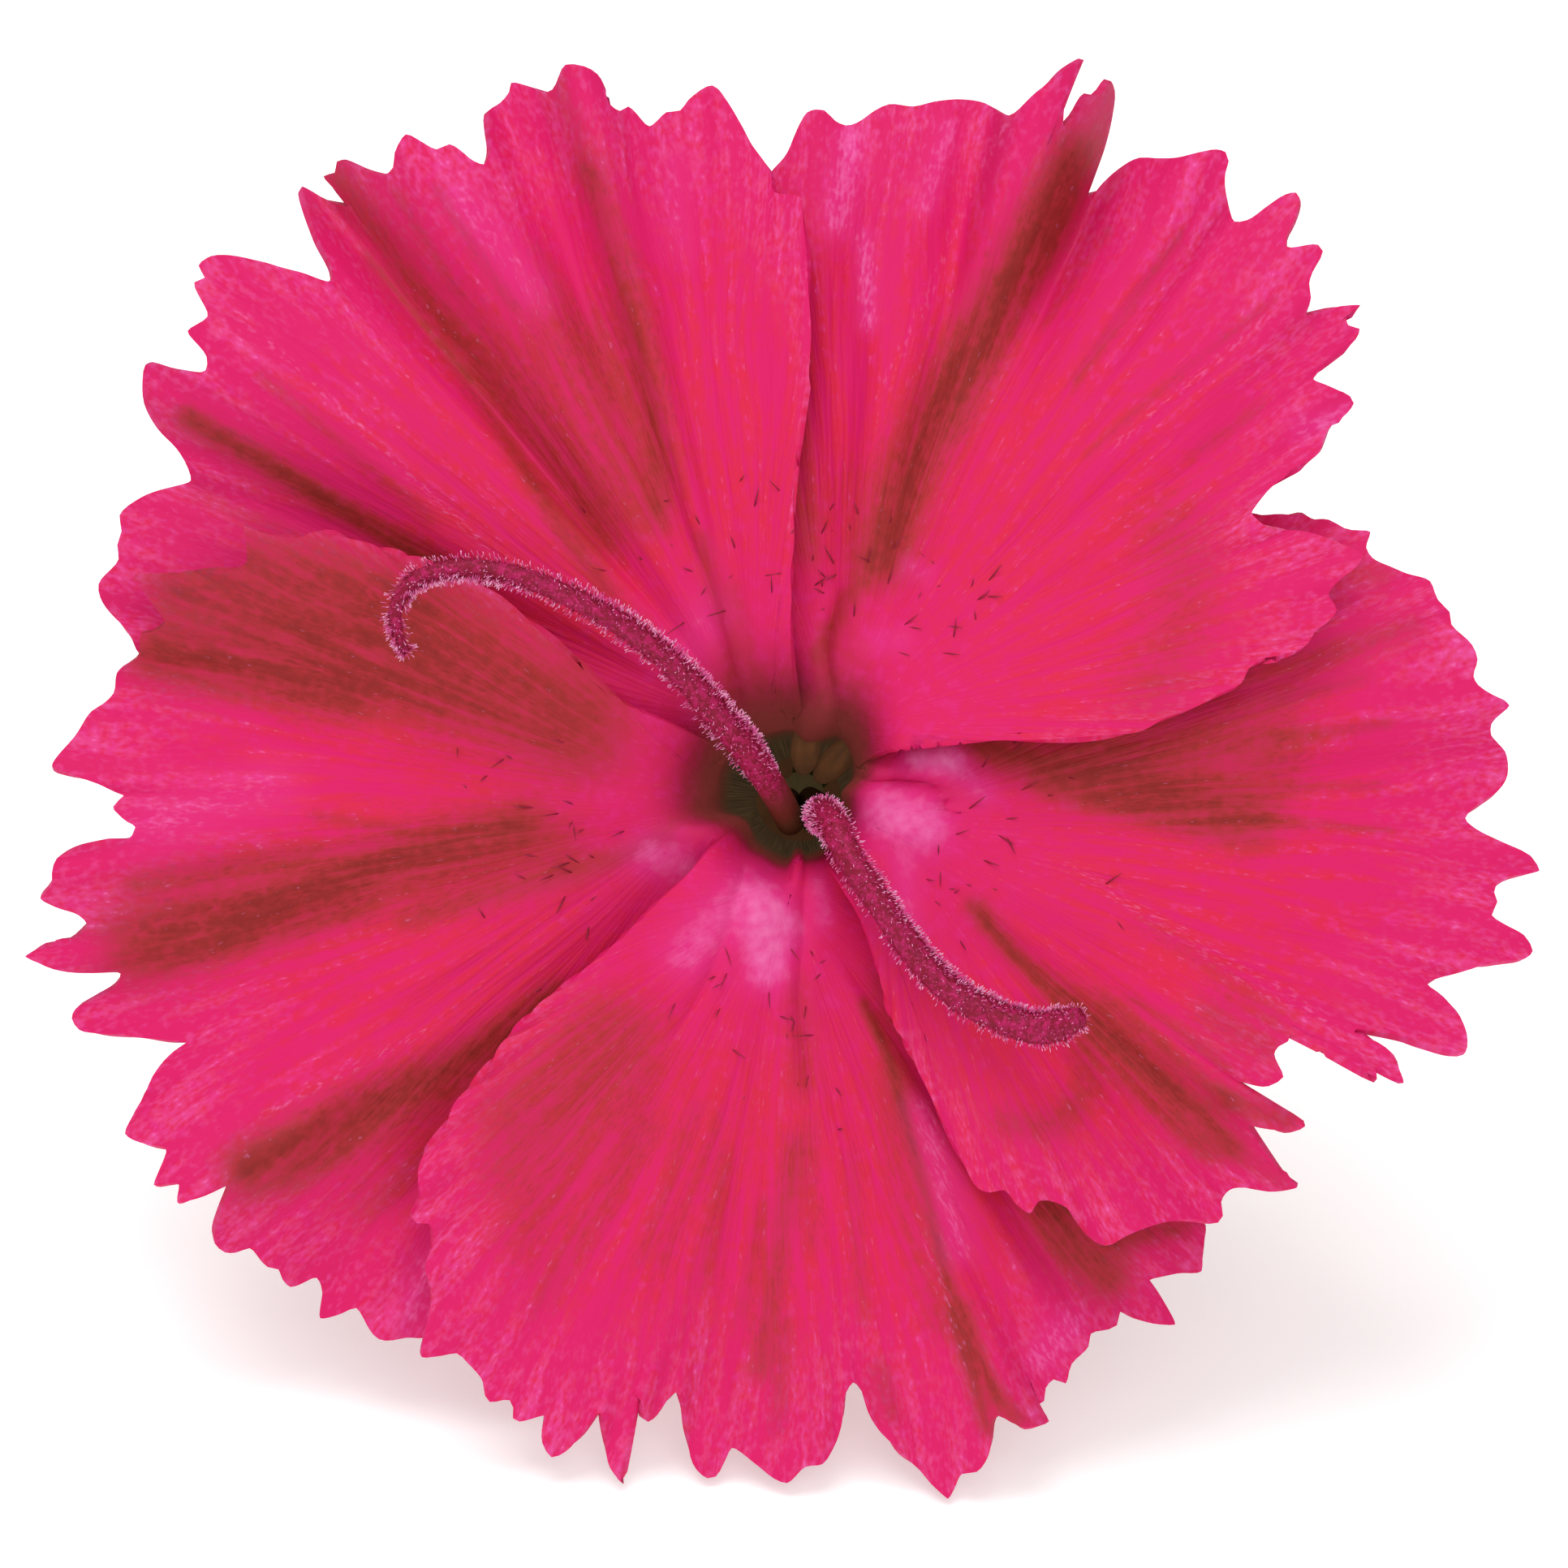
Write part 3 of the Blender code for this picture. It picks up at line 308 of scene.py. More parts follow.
LEFT_PETAL = dict(
    claw=-176.5,
    sides=(-207.5, -131.0),
    edge=(
        (-2.02, 1.28), (-3.22, 1.9), (-4.3, 2.38), (-5, 2.88), (-5.54, 3.5), (-6.16, 4.04), (-6.88, 4.58),
        (-7.32, 4.94), (-8.5, 5.6), (-9.7, 6.02), (-10.78, 6.3), (-11.48, 6.56), (-11.94, 6.56),
        (-12.2, 6.46), (-13.28, 6.6), (-13.62, 6.74), (-13.54, 6.12), (-13.58, 5.8), (-13.98, 5.66),
        (-14.88, 5.62), (-15.68, 5.5), (-16.4, 5.48), (-16.22, 5.22), (-15.86, 4.78), (-15.6, 4.42),
        (-15.96, 4.16), (-16.22, 4.12), (-16.3, 3.58), (-16.84, 3.16), (-16.88, 2.9), (-16.94, 2.58),
        (-17.46, 2.18), (-17.78, 1.7), (-18.44, 0.76), (-17.92, 0.58), (-17.02, 0.3), (-16.66, 0.06),
        (-16.92, -0.22), (-16.7, -0.44), (-16.36, -0.72), (-16.44, -0.9), (-17.74, -1.16),
        (-18.32, -1.46), (-18.44, -1.8), (-18.46, -2.06), (-18.74, -2.4), (-18.36, -2.62),
        (-17.78, -2.84), (-17.58, -3.04), (-17.92, -3.38), (-18.8, -3.66), (-19.14, -3.9), (-18.8, -4.06),
        (-18.1, -4.2), (-16.78, -4.3), (-16.94, -4.6), (-17.46, -4.9), (-17.92, -5.18), (-18, -5.44),
        (-17.82, -5.7), (-17.56, -5.78), (-16.48, -5.88), (-15.46, -6), (-15.14, -6.02), (-15.46, -6.26),
        (-15.86, -6.74), (-16.22, -7.32), (-16.44, -7.86), (-16.64, -8.3), (-16.12, -8.54),
        (-15.6, -8.66), (-15.72, -9.06), (-15.9, -9.54), (-15.28, -9.5), (-15.32, -9.96), (-14.84, -9.82),
        (-14.08, -9.46), (-14.34, -10.18), (-14.5, -10.74), (-14.48, -10.94), (-14.24, -11.16),
        (-13.98, -11.16), (-13.62, -11.06), (-13.18, -11.54), (-12.92, -11.6), (-12.82, -11.86),
        (-12.64, -12.04), (-12.38, -11.98), (-11.98, -11.82), (-11.82, -12.22), (-11.86, -12.86),
        (-11.3, -12.72), (-10.94, -12.6), (-10.74, -12.96), (-10.38, -13.38), (-9.76, -13.32),
        (-9.3, -13.34), (-8.2, -12.9), (-7.5, -11), (-6.2, -8.4), (-4.3, -5.4), (-3.1, -3.2), (-2.6, -2),
        (-2.12, -1.22),
    ),
    folds=(
        (-90, -0.3), (-125, -0.4), (-130, -0.4), (-135, 0.0), (-139, 0.6), (-142.5, 1.5), (-146, 1.1),
        (-152, 0.4), (-158, -0.1), (-162, -0.4), (-167, 0.2), (-172, 0.8), (-177, 1.0), (-182, 0.7),
        (-188, 0.2), (-192, 0.0), (-197, 0.6), (-202, 1.5), (-207, 2.3), (-212, 2.8), (-290, 2.8),
    ),
    inner_folds=(
        (-290, 2.4), (-212, 2.4), (-207, 1.9), (-202, 1.2), (-197, 0.5), (-192, 0.2), (-188, 0.2),
        (-182, 0.6), (-177, 0.9), (-172, 0.6), (-167, 0.1), (-162, -0.3), (-158, 0.0), (-152, 0.4),
        (-146, 0.6), (-138, 0.7), (-132, 0.4), (-127, -0.3), (-120, -0.4), (-90, -0.3),
    ),
    swellings=((-2.3, -0.9, 0.7, 0.25),),
    barbs=(-205, -130, 26, 2.0),
    painted_shade=(
        (((-130.5, 6.2), (-134, 8.5), (-138, 10.5), (-140.5, 12.5), (-142, 14.6)), (0.5, 0.85), 1.0),
        (((-131, 8), (-136, 11), (-139, 14)), 0.5, 0.6),
        (((-128, 9.5), (-131, 13)), 0.8, 0.45),
        (((-148, 1.4), (-153, 3.0), (-157.5, 5.3), (-159.5, 8)), 0.35, 0.65),
        (((-164, 4), (-167, 7), (-168, 10), (-168, 14)), (1.0, 1.8), 0.6),
        (
            ((-173.5, 4.8), (-172, 6.5), (-169.5, 8.5), (-168, 10.5), (-166.5, 13), (-166, 14.8)),
            (0.65, 0.85), 1.0,
        ),
        (((-163.5, 9), (-164, 14.5)), 0.25, 0.5),
        (((-173, 10), (-172.5, 14.5)), 0.3, 0.5),
        (((-175, 7.5), (-178.5, 10)), 0.15, 0.45),
        (((-197, 9.5), (-196, 12), (-195.5, 14.3)), (0.8, 1.0), 1.0),
        (((-204, 8), (-202.5, 14)), 1.4, 0.85),
        (((-210, 4.5), (-207, 11)), 1.7, 0.7),
        (((-217, 4), (-213, 8)), 1.3, 0.6),
        (((-214, 9), (-208, 13)), 0.9, 0.7),
        (((-203, 3.3), (-202, 6.5)), 0.9, 0.4),
    ),
    pale_and_painted_light=(
        (((-178, 14), (-182, 11)), 0.9, 0.3),
        (((-115, 1.7), (-128, 1.7), (-142, 2)), 0.7, 0.5),
        (((-122, 13), (-121, 14.8)), 0.7, 0.3),
    ),
    ridges=(((-142, 9), (-145.5, 13.5)),),
)

BOTTOM_PETAL = dict(
    claw=-99.0,
    sides=(-138.0, -51.0),
    edge=(
        (-1.42, -0.58), (-2.18, -1.18), (-2.8, -1.88), (-3.4, -2.42), (-4.48, -3.48), (-5.38, -4.24),
        (-6.4, -5.06), (-7, -5.66), (-7.62, -6.48), (-8.44, -7.5), (-8.74, -8.02), (-9.2, -8.62),
        (-9.38, -9.24), (-9.36, -9.84), (-9.56, -10.26), (-9.4, -10.42), (-9.1, -10.44), (-9.06, -10.98),
        (-9.2, -11.48), (-9.06, -12.2), (-9.16, -12.8), (-9.32, -13.72), (-8.84, -13.68), (-8.48, -13.62),
        (-8.18, -13.88), (-7.82, -14.34), (-7.74, -14.7), (-7.62, -14.86), (-7.16, -14.8), (-7.06, -15),
        (-7.06, -15.26), (-6.9, -15.34), (-6.6, -15.26), (-6.3, -15.18), (-6.36, -15.56), (-6.34, -15.88),
        (-6.14, -16.22), (-5.78, -16.08), (-5.38, -15.72), (-4.94, -15.14), (-4.86, -15.56),
        (-4.76, -16.18), (-4.56, -16.68), (-4.38, -16.9), (-4.48, -16.58), (-4.46, -15.98),
        (-4.26, -15.06), (-4.04, -14.62), (-3.94, -14.8), (-3.9, -15.26), (-3.8, -15.34), (-3.54, -15.16),
        (-3.04, -14.64), (-2.88, -14.96), (-2.82, -15.56), (-2.72, -16.08), (-2.52, -16.58),
        (-2.3, -16.78), (-2.1, -16.74), (-1.9, -16.44), (-1.64, -16.02), (-0.98, -16.48), (-0.58, -16.78),
        (-0.28, -16.88), (0.14, -16.48), (0.54, -16.42), (0.74, -16.12), (1.06, -15.36), (1.16, -14.64),
        (1.3, -14.38), (1.46, -14.5), (1.76, -15.16), (2.08, -15.66), (2.64, -16.32), (3, -16.54),
        (3.4, -17.04), (3.66, -17.3), (3.86, -16.94), (4.06, -16.66), (4.42, -16.6), (4.58, -16.38),
        (4.74, -15.98), (4.82, -15.3), (4.94, -15.2), (5.24, -15.38), (5.64, -15.54), (6.1, -15.42),
        (5.86, -14.98), (6, -14.9), (6.1, -14.54), (6.26, -14.34), (6.56, -14.44), (6.72, -13.94),
        (7.12, -13.52), (7.18, -13.22), (7.64, -13.12), (7.84, -13.02), (7.92, -12.68), (8.3, -12.86),
        (8.92, -13), (9.28, -13.02), (8.92, -12.3), (8.66, -11.88), (9.32, -11.74), (9.94, -11.68),
        (9.96, -11.38), (10.02, -10.88), (10.04, -10.56), (9.6, -10.2), (8.4, -9.4), (6.4, -7.4),
        (4.2, -5.2), (2.3, -3.5), (1.5, -2.8), (1.07, -2.2),
    ),
    folds=(
        (20, -0.5), (-40, -0.5), (-55, -0.4), (-62, -0.2), (-64, -0.1), (-66.5, 0.9), (-70, 0.5),
        (-76, 0.0), (-82, -0.4), (-88, 0.1), (-93, -0.2), (-98, -0.5), (-104, 0.0), (-112, 0.3),
        (-120, 0.4), (-130, 0.9), (-138, 1.3), (-145, 1.5), (-220, 1.5),
    ),
    inner_folds=(
        (-220, 1.5), (-145, 1.5), (-138, 1.3), (-130, 0.9), (-120, 0.4), (-112, 0.3), (-104, 0.0),
        (-98, -0.5), (-93, -0.2), (-85, 0.1), (-76, -0.2), (-70, 0.0), (-66, 0.2), (-62, 0.5), (-59, 0.8),
        (-55.5, 0.0), (-50, -0.3), (-40, -0.5), (20, -0.5),
    ),
    swellings=((-0.85, -2.6, 0.9, 0.4), (-2.4, -2.0, 0.7, 0.25), (0.65, -2.6, 0.7, 0.25)),
    creases=(
        (((-40, 0.5), (-60, 0.8), (-80, 2), (-85, 3.3), (-84, 5)), 0.2, 0.12),
        (((-190, 1.1), (-150, 1.5), (-130, 3), (-126, 4.5)), 0.2, 0.12),
    ),
    barbs=(-140, -55, 24, 1.0),
    painted_shade=(
        (
            ((-58, 3.5), (-60, 5), (-64, 7), (-66.5, 9), (-68, 11), (-68.3, 12.5), (-67, 14.5)),
            (0.16, 0.24), 0.9,
        ),
        (((-68, 11.5), (-69.5, 14.3)), 0.4, 0.8),
        (((-63, 5.5), (-69, 8), (-71, 11.5)), 0.5, 0.4),
        (((-49, 9.6), (-52, 11), (-51, 12.5)), 0.75, 1.0),
        (((-41, 13), (-45, 12.4), (-48, 12)), 0.35, 0.8),
        (((-47, 3.2), (-54, 4.2), (-59, 6)), 0.3, 0.45),
        (((-84, 2.6), (-85, 5)), 0.45, 0.45),
        (((-77, 7), (-80, 11)), 0.25, 0.35),
        (((-84, 6), (-86, 9)), 0.3, 0.3),
        (((-88, 6.5), (-91, 9), (-93, 12)), 0.35, 0.6),
        (((-94, 8), (-96, 11)), 0.2, 0.4),
        (((-103, 7), (-102, 10)), 0.3, 0.35),
        (((-106, 6), (-108, 10)), 0.2, 0.3),
        (((-112, 6), (-111, 10)), 0.25, 0.35),
        (((-90, 11), (-91, 13.5)), 0.25, 0.4),
        (((-79, 12.3), (-79, 13.4)), 0.35, 0.5),
        (((-100, 6), (-98, 11)), 3.5, 0.18),
        (((-128, 6), (-127, 11)), 0.9, 0.4),
        (((-136, 5.2), (-134, 10)), 0.9, 0.45),
        (((-144, 5.8), (-141, 9)), 1.0, 0.55),
        (((-119, 7), (-120, 12)), 0.5, 0.4),
    ),
    pale_and_painted_light=(
        (((-130, 0.9), (-90, 1.2)), 0.6, 0.45),
        (((-117, 1.1), (-108, 1.7), (-103, 2.2)), 0.6, 0.75),
        (((-168, 1.1), (-152, 2.0), (-145, 3)), 0.75, 0.48),
        (((-6, 0.8), (-44, 1.3)), 0.3, 0.4),
        (((-59, 6.5), (-62, 8), (-65, 10)), 0.5, 0.36),
        (((-58, 13), (-62, 13.3)), 0.5, 0.4),
    ),
    ridges=(((-68.6, 9), (-68.9, 12.5)),),
)

RIGHT_PETAL = dict(
    claw=-16.0,
    sides=(-57.5, 28.0),
    edge=(
        (0.5, -1.4), (1.42, -2.76), (1.88, -4.04), (2.22, -5.26), (2.5, -5.82), (3.1, -7), (3.4, -7.7),
        (4.02, -8.94), (4.42, -9.54), (4.68, -9.66), (5.04, -9.6), (5.34, -9.96), (5.7, -10.16),
        (5.86, -9.88), (6.46, -9.96), (6.76, -10.26), (7.08, -10.66), (7.58, -10.98), (8, -10.76),
        (8.5, -10.56), (9.12, -10.4), (9.62, -10.38), (10.3, -10.46), (10.42, -10.3), (10.36, -9.98),
        (10.5, -9.74), (10.7, -9.6), (11.58, -9.68), (12.32, -9.54), (12.04, -9.32), (11.68, -8.84),
        (11.1, -7.98), (11.58, -8.12), (12.14, -8.22), (12.48, -8.04), (11.68, -7.78), (11.12, -7.36),
        (10.5, -6.8), (11.02, -6.94), (11.58, -7.04), (11.92, -6.84), (11.82, -6.56), (11.7, -6.28),
        (11.82, -6.06), (12.04, -5.96), (12.1, -5.68), (12.52, -5.94), (13.04, -6.26), (13.16, -6.22),
        (13.64, -6.56), (14.2, -6.94), (14.14, -6.56), (13.92, -6.3), (14.38, -6.6), (14.88, -7),
        (14.66, -6.32), (14.2, -5.96), (13.68, -5.7), (14.76, -5.9), (15.5, -6.14), (16.06, -6.3),
        (16.42, -6.28), (16.48, -5.96), (16.34, -5.4), (15.88, -4.88), (15.46, -4.6), (15.88, -4.36),
        (16.44, -4.2), (17.36, -4.04), (17.94, -3.94), (18.12, -3.72), (17.94, -3.38), (17.36, -3.06),
        (17.1, -2.88), (17.24, -2.54), (17.16, -2.32), (17.28, -2.08), (18.3, -1.74), (18.12, -1.42),
        (17.36, -1.1), (16.72, -0.78), (16.46, -0.46), (16.8, -0.16), (17.3, 0.2), (17.52, 0.6),
        (17.46, 1.2), (17.1, 1.64), (17.1, 1.92), (17.54, 2.36), (16.78, 2.8), (16.66, 3.02),
        (16.76, 3.46), (16.62, 3.82), (16.12, 4.3), (16.06, 4.66), (15.78, 4.94), (15.6, 5.36),
        (14.84, 5.64), (14.16, 5.96), (14.02, 6.2), (14.12, 6.6), (13.48, 6.7), (13.14, 6.86),
        (12.74, 6.92), (12.5, 7.06), (11.94, 7.02), (11.46, 6.98), (11.14, 7.08), (10.4, 6.7), (9.6, 6.2),
        (8, 5.2), (5.4, 3.9), (4.2, 3.2), (3.0, 2.3), (1.6, 1.05),
    ),
    folds=(
        (90, -0.6), (45, -0.6), (35, -0.3), (28, 0.0), (20, 0.2), (12, 0.2), (5, -0.5), (0, -0.3),
        (-8, 0.2), (-18, 0.3), (-26, 0.8), (-31, 0.5), (-38, -0.2), (-44, -1.2), (-50, -0.5), (-56, 0.4),
        (-62, 0.8), (-70, 0.9), (-130, 0.9),
    ),
    swellings=((3.2, 1.0, 0.7, 0.4), (2.7, -0.5, 0.9, 0.5), (5.7, -6.9, 1.5, 0.4)),
    creases=((((110, 1.0), (66, 1.1), (40, 1.5), (25, 1.75), (10, 1.7)), 0.14, 0.25),),
    barbs=(-60, 35, 24, 1.0),
    painted_shade=(
        (((42, 3.0), (30, 3.4), (21.4, 4.2), (11, 5.9), (4, 7.7), (1, 9.2)), (0.5, 0.9), 1.0),
        (((17, 5.8), (14, 7.5), (11.5, 9.8)), 1.2, 0.74),
        (((14, 4.2), (6, 5.4), (2, 6.8), (-1, 8.7)), 0.42, 0.8),
        (((17, 10), (16.5, 12.5)), 0.2, 0.5),
        (((12, 10), (11, 12.8)), 0.2, 0.5),
        (((5, 10), (4, 12.5)), 0.2, 0.45),
        (((0, 9.5), (-1, 12.8)), 0.18, 0.45),
        (((22, 8), (20.5, 12), (20, 14)), 0.5, 0.5),
        (((30, 12.6), (26, 13.8)), 0.5, 0.5),
        (((-42, 3.2), (-44.5, 4.5), (-44, 6), (-42.5, 8), (-42.5, 10), (-42.5, 11.8)), (0.35, 0.4), 1.0),
        (((-44, 6.5), (-44, 11)), 0.9, 0.55),
        (((-47, 8.5), (-45.5, 11.5)), 0.25, 0.5),
        (((-38, 7), (-38.5, 11)), 0.25, 0.6),
        (((-34.5, 7.5), (-35, 10.5)), 0.2, 0.45),
        (((-46, 7.3), (-52, 8.2), (-60, 8.6), (-67, 8)), 0.5, 0.6),
        (((-21, 7), (-24, 9), (-26, 11)), 0.3, 0.3),
        (((-30, 9.5), (-30, 11)), 0.7, 0.45),
        (((-38.5, 10.8), (-36.4, 12.5)), 0.35, 0.7),
        (((-43, 11.6), (-41.4, 13.3)), 0.4, 0.45),
    ),
    pale_and_painted_light=(
        (((59, 1.8), (41, 2.3)), 0.36, 0.7),
        (((41, 2.3), (14, 2.7)), 0.35, 0.4),
        (((43, 0.3), (-4, 1.1)), 0.75, 0.75),
        (((-60, 1.2), (-75, 2.6)), 0.4, 0.35),
    ),
    ridges=(
        ((-11.5, 4.5), (-17.3, 6.3), (-21.2, 8.7), (-23.1, 11.1), (-26, 14)),
        ((-17, 5.6), (-22.5, 8.5), (-24.6, 11)),
    ),
)

UPPER_RIGHT_PETAL = dict(
    claw=59.5,
    sides=(21.5, 97.0),
    edge=(
        (1.54, 0.8), (1.8, 1), (2.5, 1.3), (3.3, 1.42), (4.3, 1.46), (6.3, 1.44), (7.26, 1.5),
        (8.32, 1.68), (8.96, 1.96), (9.68, 2.24), (10.32, 2.56), (10.86, 2.84), (11.06, 3.22),
        (11.46, 3.42), (12.02, 3.54), (12.5, 3.82), (12.66, 4.14), (13.06, 4.42), (13.24, 4.62),
        (13.02, 5.06), (13.16, 5.3), (13.72, 5.72), (13.9, 5.96), (13.56, 6.2), (13.14, 6.4),
        (12.1, 6.64), (11.46, 6.76), (11.14, 7.04), (11.46, 7.56), (12.04, 8), (12.84, 8.58),
        (12.94, 8.84), (13.16, 9.28), (13.5, 9.54), (13.66, 9.8), (13.56, 9.98), (13.18, 10.14),
        (12.68, 10.34), (13.18, 10.94), (13.72, 11.36), (13.82, 11.64), (13.54, 11.72), (13.5, 11.84),
        (13.86, 12.2), (13.18, 12.16), (12.74, 12.04), (12.46, 11.98), (12.6, 12.4), (12.58, 12.72),
        (12.68, 13.04), (12.92, 13.52), (12.8, 13.68), (12.04, 13.62), (12.04, 13.84), (12.24, 14.26),
        (12.38, 14.84), (12.3, 14.96), (12.04, 14.92), (11.6, 14.64), (11.08, 14.28), (10.76, 14.26),
        (10.52, 14.9), (10.5, 15.48), (10.58, 15.78), (10.5, 16), (10.26, 16.06), (9.86, 15.96),
        (9.36, 15.82), (8.84, 15.82), (8.46, 15.84), (7.96, 15.56), (7.44, 15.14), (7.06, 14.96),
        (7.22, 15.42), (7.5, 16.22), (7.68, 17.02), (7.72, 17.56), (7.62, 17.78), (7.28, 17.38),
        (7.1, 17.4), (6.7, 16.84), (6.44, 16.58), (6.46, 17.1), (6.56, 17.52), (6.74, 17.92),
        (6.94, 18.24), (6.52, 18), (5.88, 17.42), (5.26, 16.84), (4.64, 17.2), (4.02, 17.3),
        (3.38, 17.24), (2.86, 17.12), (2.22, 17.18), (1.86, 17.02), (1.42, 16.72), (1.16, 16.66),
        (0.88, 16.8), (0.64, 17.04), (0.44, 17.06), (0.18, 16.98), (-0.1, 16.48), (-0.36, 15.86),
        (-0.72, 15.42), (-1.1, 14.4), (-1.7, 13), (-2.0, 9), (-1.8, 5.5), (-1.1, 3.3), (-0.35, 2.2),
    ),
    folds=(
        (140, -0.2), (100, -0.2), (80, 0.0), (76, 0.1), (73.8, 1.8), (71, 1.95), (69.3, 1.55),
        (64.6, -0.95), (62, -0.3), (58, 0.5), (55, 0.3), (52, 0.0), (48, 0.4), (43, 0.5), (40, 0.1),
        (35, 0.0), (25, -0.1), (15, 0.0), (0, 0.1), (-60, 0.1),
    ),
    inner_folds=(
        (-60, 0.1), (0, 0.1), (25, 0.0), (40, 0.1), (50, 0.3), (60, -0.1), (67, -0.8), (72, -0.6),
        (79, 1.2), (83.5, 1.7), (88, 0.8), (93, 0.1), (100, -0.2), (140, -0.2),
    ),
    creases=((((103, 0.3), (103, 0.9), (100, 2.0), (92, 3.2)), 0.18, 0.2),),
    barbs=(30, 105, 34, 2.0),
    painted_shade=(
        (
            ((77, 4.4), (75, 6.5), (72.8, 8.5), (70.8, 10.5), (69.3, 12.5), (68.6, 14), (68.3, 15.3)),
            (0.95, 0.65), 1.0,
        ),
        (((71.5, 8), (69, 11), (67.7, 14)), 0.6, 0.8),
        (((67.3, 13), (66.9, 18)), 0.5, 0.42),
        (((103, 0.5), (102, 1.2), (98, 2.4)), 0.32, 0.55),
        (((60, 1.0), (80, 1.6), (86, 2.6)), 0.5, 0.3),
        (((108, 1.9), (100, 2.2), (90, 2.9), (82, 3.7), (77, 4.8)), 0.25, 0.7),
        (((101, 4.3), (98.5, 6.5), (97, 8.5)), 0.35, 0.5),
        (((99, 5), (89, 6.2)), 0.6, 0.25),
        (((30, 9.5), (18, 8.8), (8, 7.8)), 1.3, 0.45),
        (((56, 10.3), (55.5, 14.8)), 0.2, 0.5),
        (((38, 11), (37.5, 13)), 0.25, 0.4),
        (((48, 9), (46, 12.5), (44.7, 15)), 0.15, 0.4),
        (((63, 11), (61.5, 14)), 0.15, 0.4),
    ),
    pale_and_painted_light=(
        (((86, 10), (87, 12)), 0.3, 0.45),
        (((90.5, 12.5), (89, 14.5)), 0.45, 0.5),
        (((81, 13), (80, 15)), 0.35, 0.35),
        (((33, 13.5), (32, 14.5)), 0.4, 0.4),
        (((68, 2.3), (55, 2.6)), 0.4, 0.3),
        (((68, 4.3), (60, 4.3)), 0.25, 0.35),
    ),
    ridges=(((83.3, 8.2), (79.2, 10.6), (76.7, 13.2), (74.2, 15.6)), ((46, 9.5), (44, 14.5))),
)

# In this order they are built, which the random draws follow.
PETALS = {
    "petal_upper_left": UPPER_LEFT_PETAL,
    "petal_left": LEFT_PETAL,
    "petal_bottom": BOTTOM_PETAL,
    "petal_right": RIGHT_PETAL,
    "petal_upper_right": UPPER_RIGHT_PETAL,
}


def clamped(value):
    return np.clip(value, 0.0, 1.0)


def smooth_step(share):
    share = clamped(share)
    return share * share * (3 - 2 * share)


def hermite(t, start, start_slope, end, end_slope):
    """A smooth run from start to end. The slopes are for the whole run."""
    return (
        (2 * t**3 - 3 * t**2 + 1) * start
        + (t**3 - 2 * t**2 + t) * start_slope
        + (3 * t**2 - 2 * t**3) * end
        + (t**3 - t**2) * end_slope
    )


def curve_through(points, at):
    """Heights at places on a smooth curve through (place, height) points."""
    x, y = np.array(sorted(points), float).T
    at = np.clip(np.asarray(at, float), x[0], x[-1])
    slope = np.zeros(len(x))
    slope[1:-1] = (y[2:] - y[:-2]) / (x[2:] - x[:-2])
    slope[0] = (y[1] - y[0]) / (x[1] - x[0])
    slope[-1] = (y[-1] - y[-2]) / (x[-1] - x[-2])
    right = np.clip(np.searchsorted(x, at, side="left"), 1, len(x) - 1)
    left = right - 1
    width = x[right] - x[left]
    return hermite((at - x[left]) / width, y[left], width * slope[left], y[right], width * slope[right])


def spline(points, step):
    """Points about step apart through all the given points, smooth except where they turn sharply."""
    points = np.array(points, float)
    runs = np.diff(points, axis=0)
    lengths = np.linalg.norm(runs, axis=1)
    ways = runs / lengths[:, None]
    tangents = np.zeros_like(points)
    tangents[0], tangents[-1] = ways[0], ways[-1]
    tangents[1:-1] = ways[:-1] + ways[1:]
    size = np.linalg.norm(tangents, axis=1)
    # A tangent fades where the line nearly turns back, which keeps the point of a tooth sharp.
    tangents *= (clamped(size / 2) ** 2 / np.maximum(size, 1e-6))[:, None]
    placed = []
    for k, length in enumerate(lengths):
        count = max(1, int(round(length / step)))
        for t in np.arange(count) / count:
            placed.append(
                hermite(t, points[k], length * tangents[k], points[k + 1], length * tangents[k + 1])
            )
    placed.append(points[-1])
    return np.array(placed)


def moving_average(values, reach):
    """Each value averaged with its neighbours, up to reach places away."""
    padded = np.pad(values, reach, mode="edge")
    kernel = np.ones(2 * reach + 1) / (2 * reach + 1)
    return np.convolve(padded, kernel, mode="valid")


def lowest_near(values, reach):
    """The lowest value up to reach places away from each."""
    padded = np.pad(values, reach, mode="edge")
    return np.min([padded[k:k + len(values)] for k in range(2 * reach + 1)], axis=0)


def plan_way(degrees):
    """Unit directions in the plan at angles in degrees."""
    angle = np.radians(degrees)
    return np.stack([np.cos(angle), np.sin(angle)], axis=-1)


def heading_of(arms):
    return np.degrees(np.arctan2(arms[..., 1], arms[..., 0]))


def full_turn(count):
    """Angles once round, with the first one again at the end."""
    return 2 * np.pi * np.arange(count + 1) / count


def round_axis(radius, angle, height):
    """Places at a radius and an angle round the flower's axis."""
    return np.stack(np.broadcast_arrays(radius * np.cos(angle), radius * np.sin(angle), height), axis=-1)


def along_path(places, path):
    """Distance in the plan from each place to a path, and the share of the path at its nearest point."""
    nearest = np.full(places.shape[:-1], np.inf)
    share = np.zeros(places.shape[:-1])
    path = spline(path, 0.5)
    for number, (start, end) in enumerate(zip(path, path[1:])):
        run = end - start
        along = clamped(((places - start) @ run) / (run @ run))
        distance = np.linalg.norm(places - (start + along[..., None] * run), axis=-1)
        closer = distance < nearest
        nearest = np.where(closer, distance, nearest)
        share = np.where(closer, (number + along) / (len(path) - 1), share)
    return nearest, share


def claw_base(petal):
    """The point that a petal's headings and reaches are measured from."""
    return plan_way(petal["claw"]) * CLAW_RADIUS


def on_petal(petal, path):
    """A path of (heading, reach) as points in the flower's plan."""
    heading, reach = np.array(path, float).T
    return claw_base(petal) + reach[:, None] * plan_way(heading)


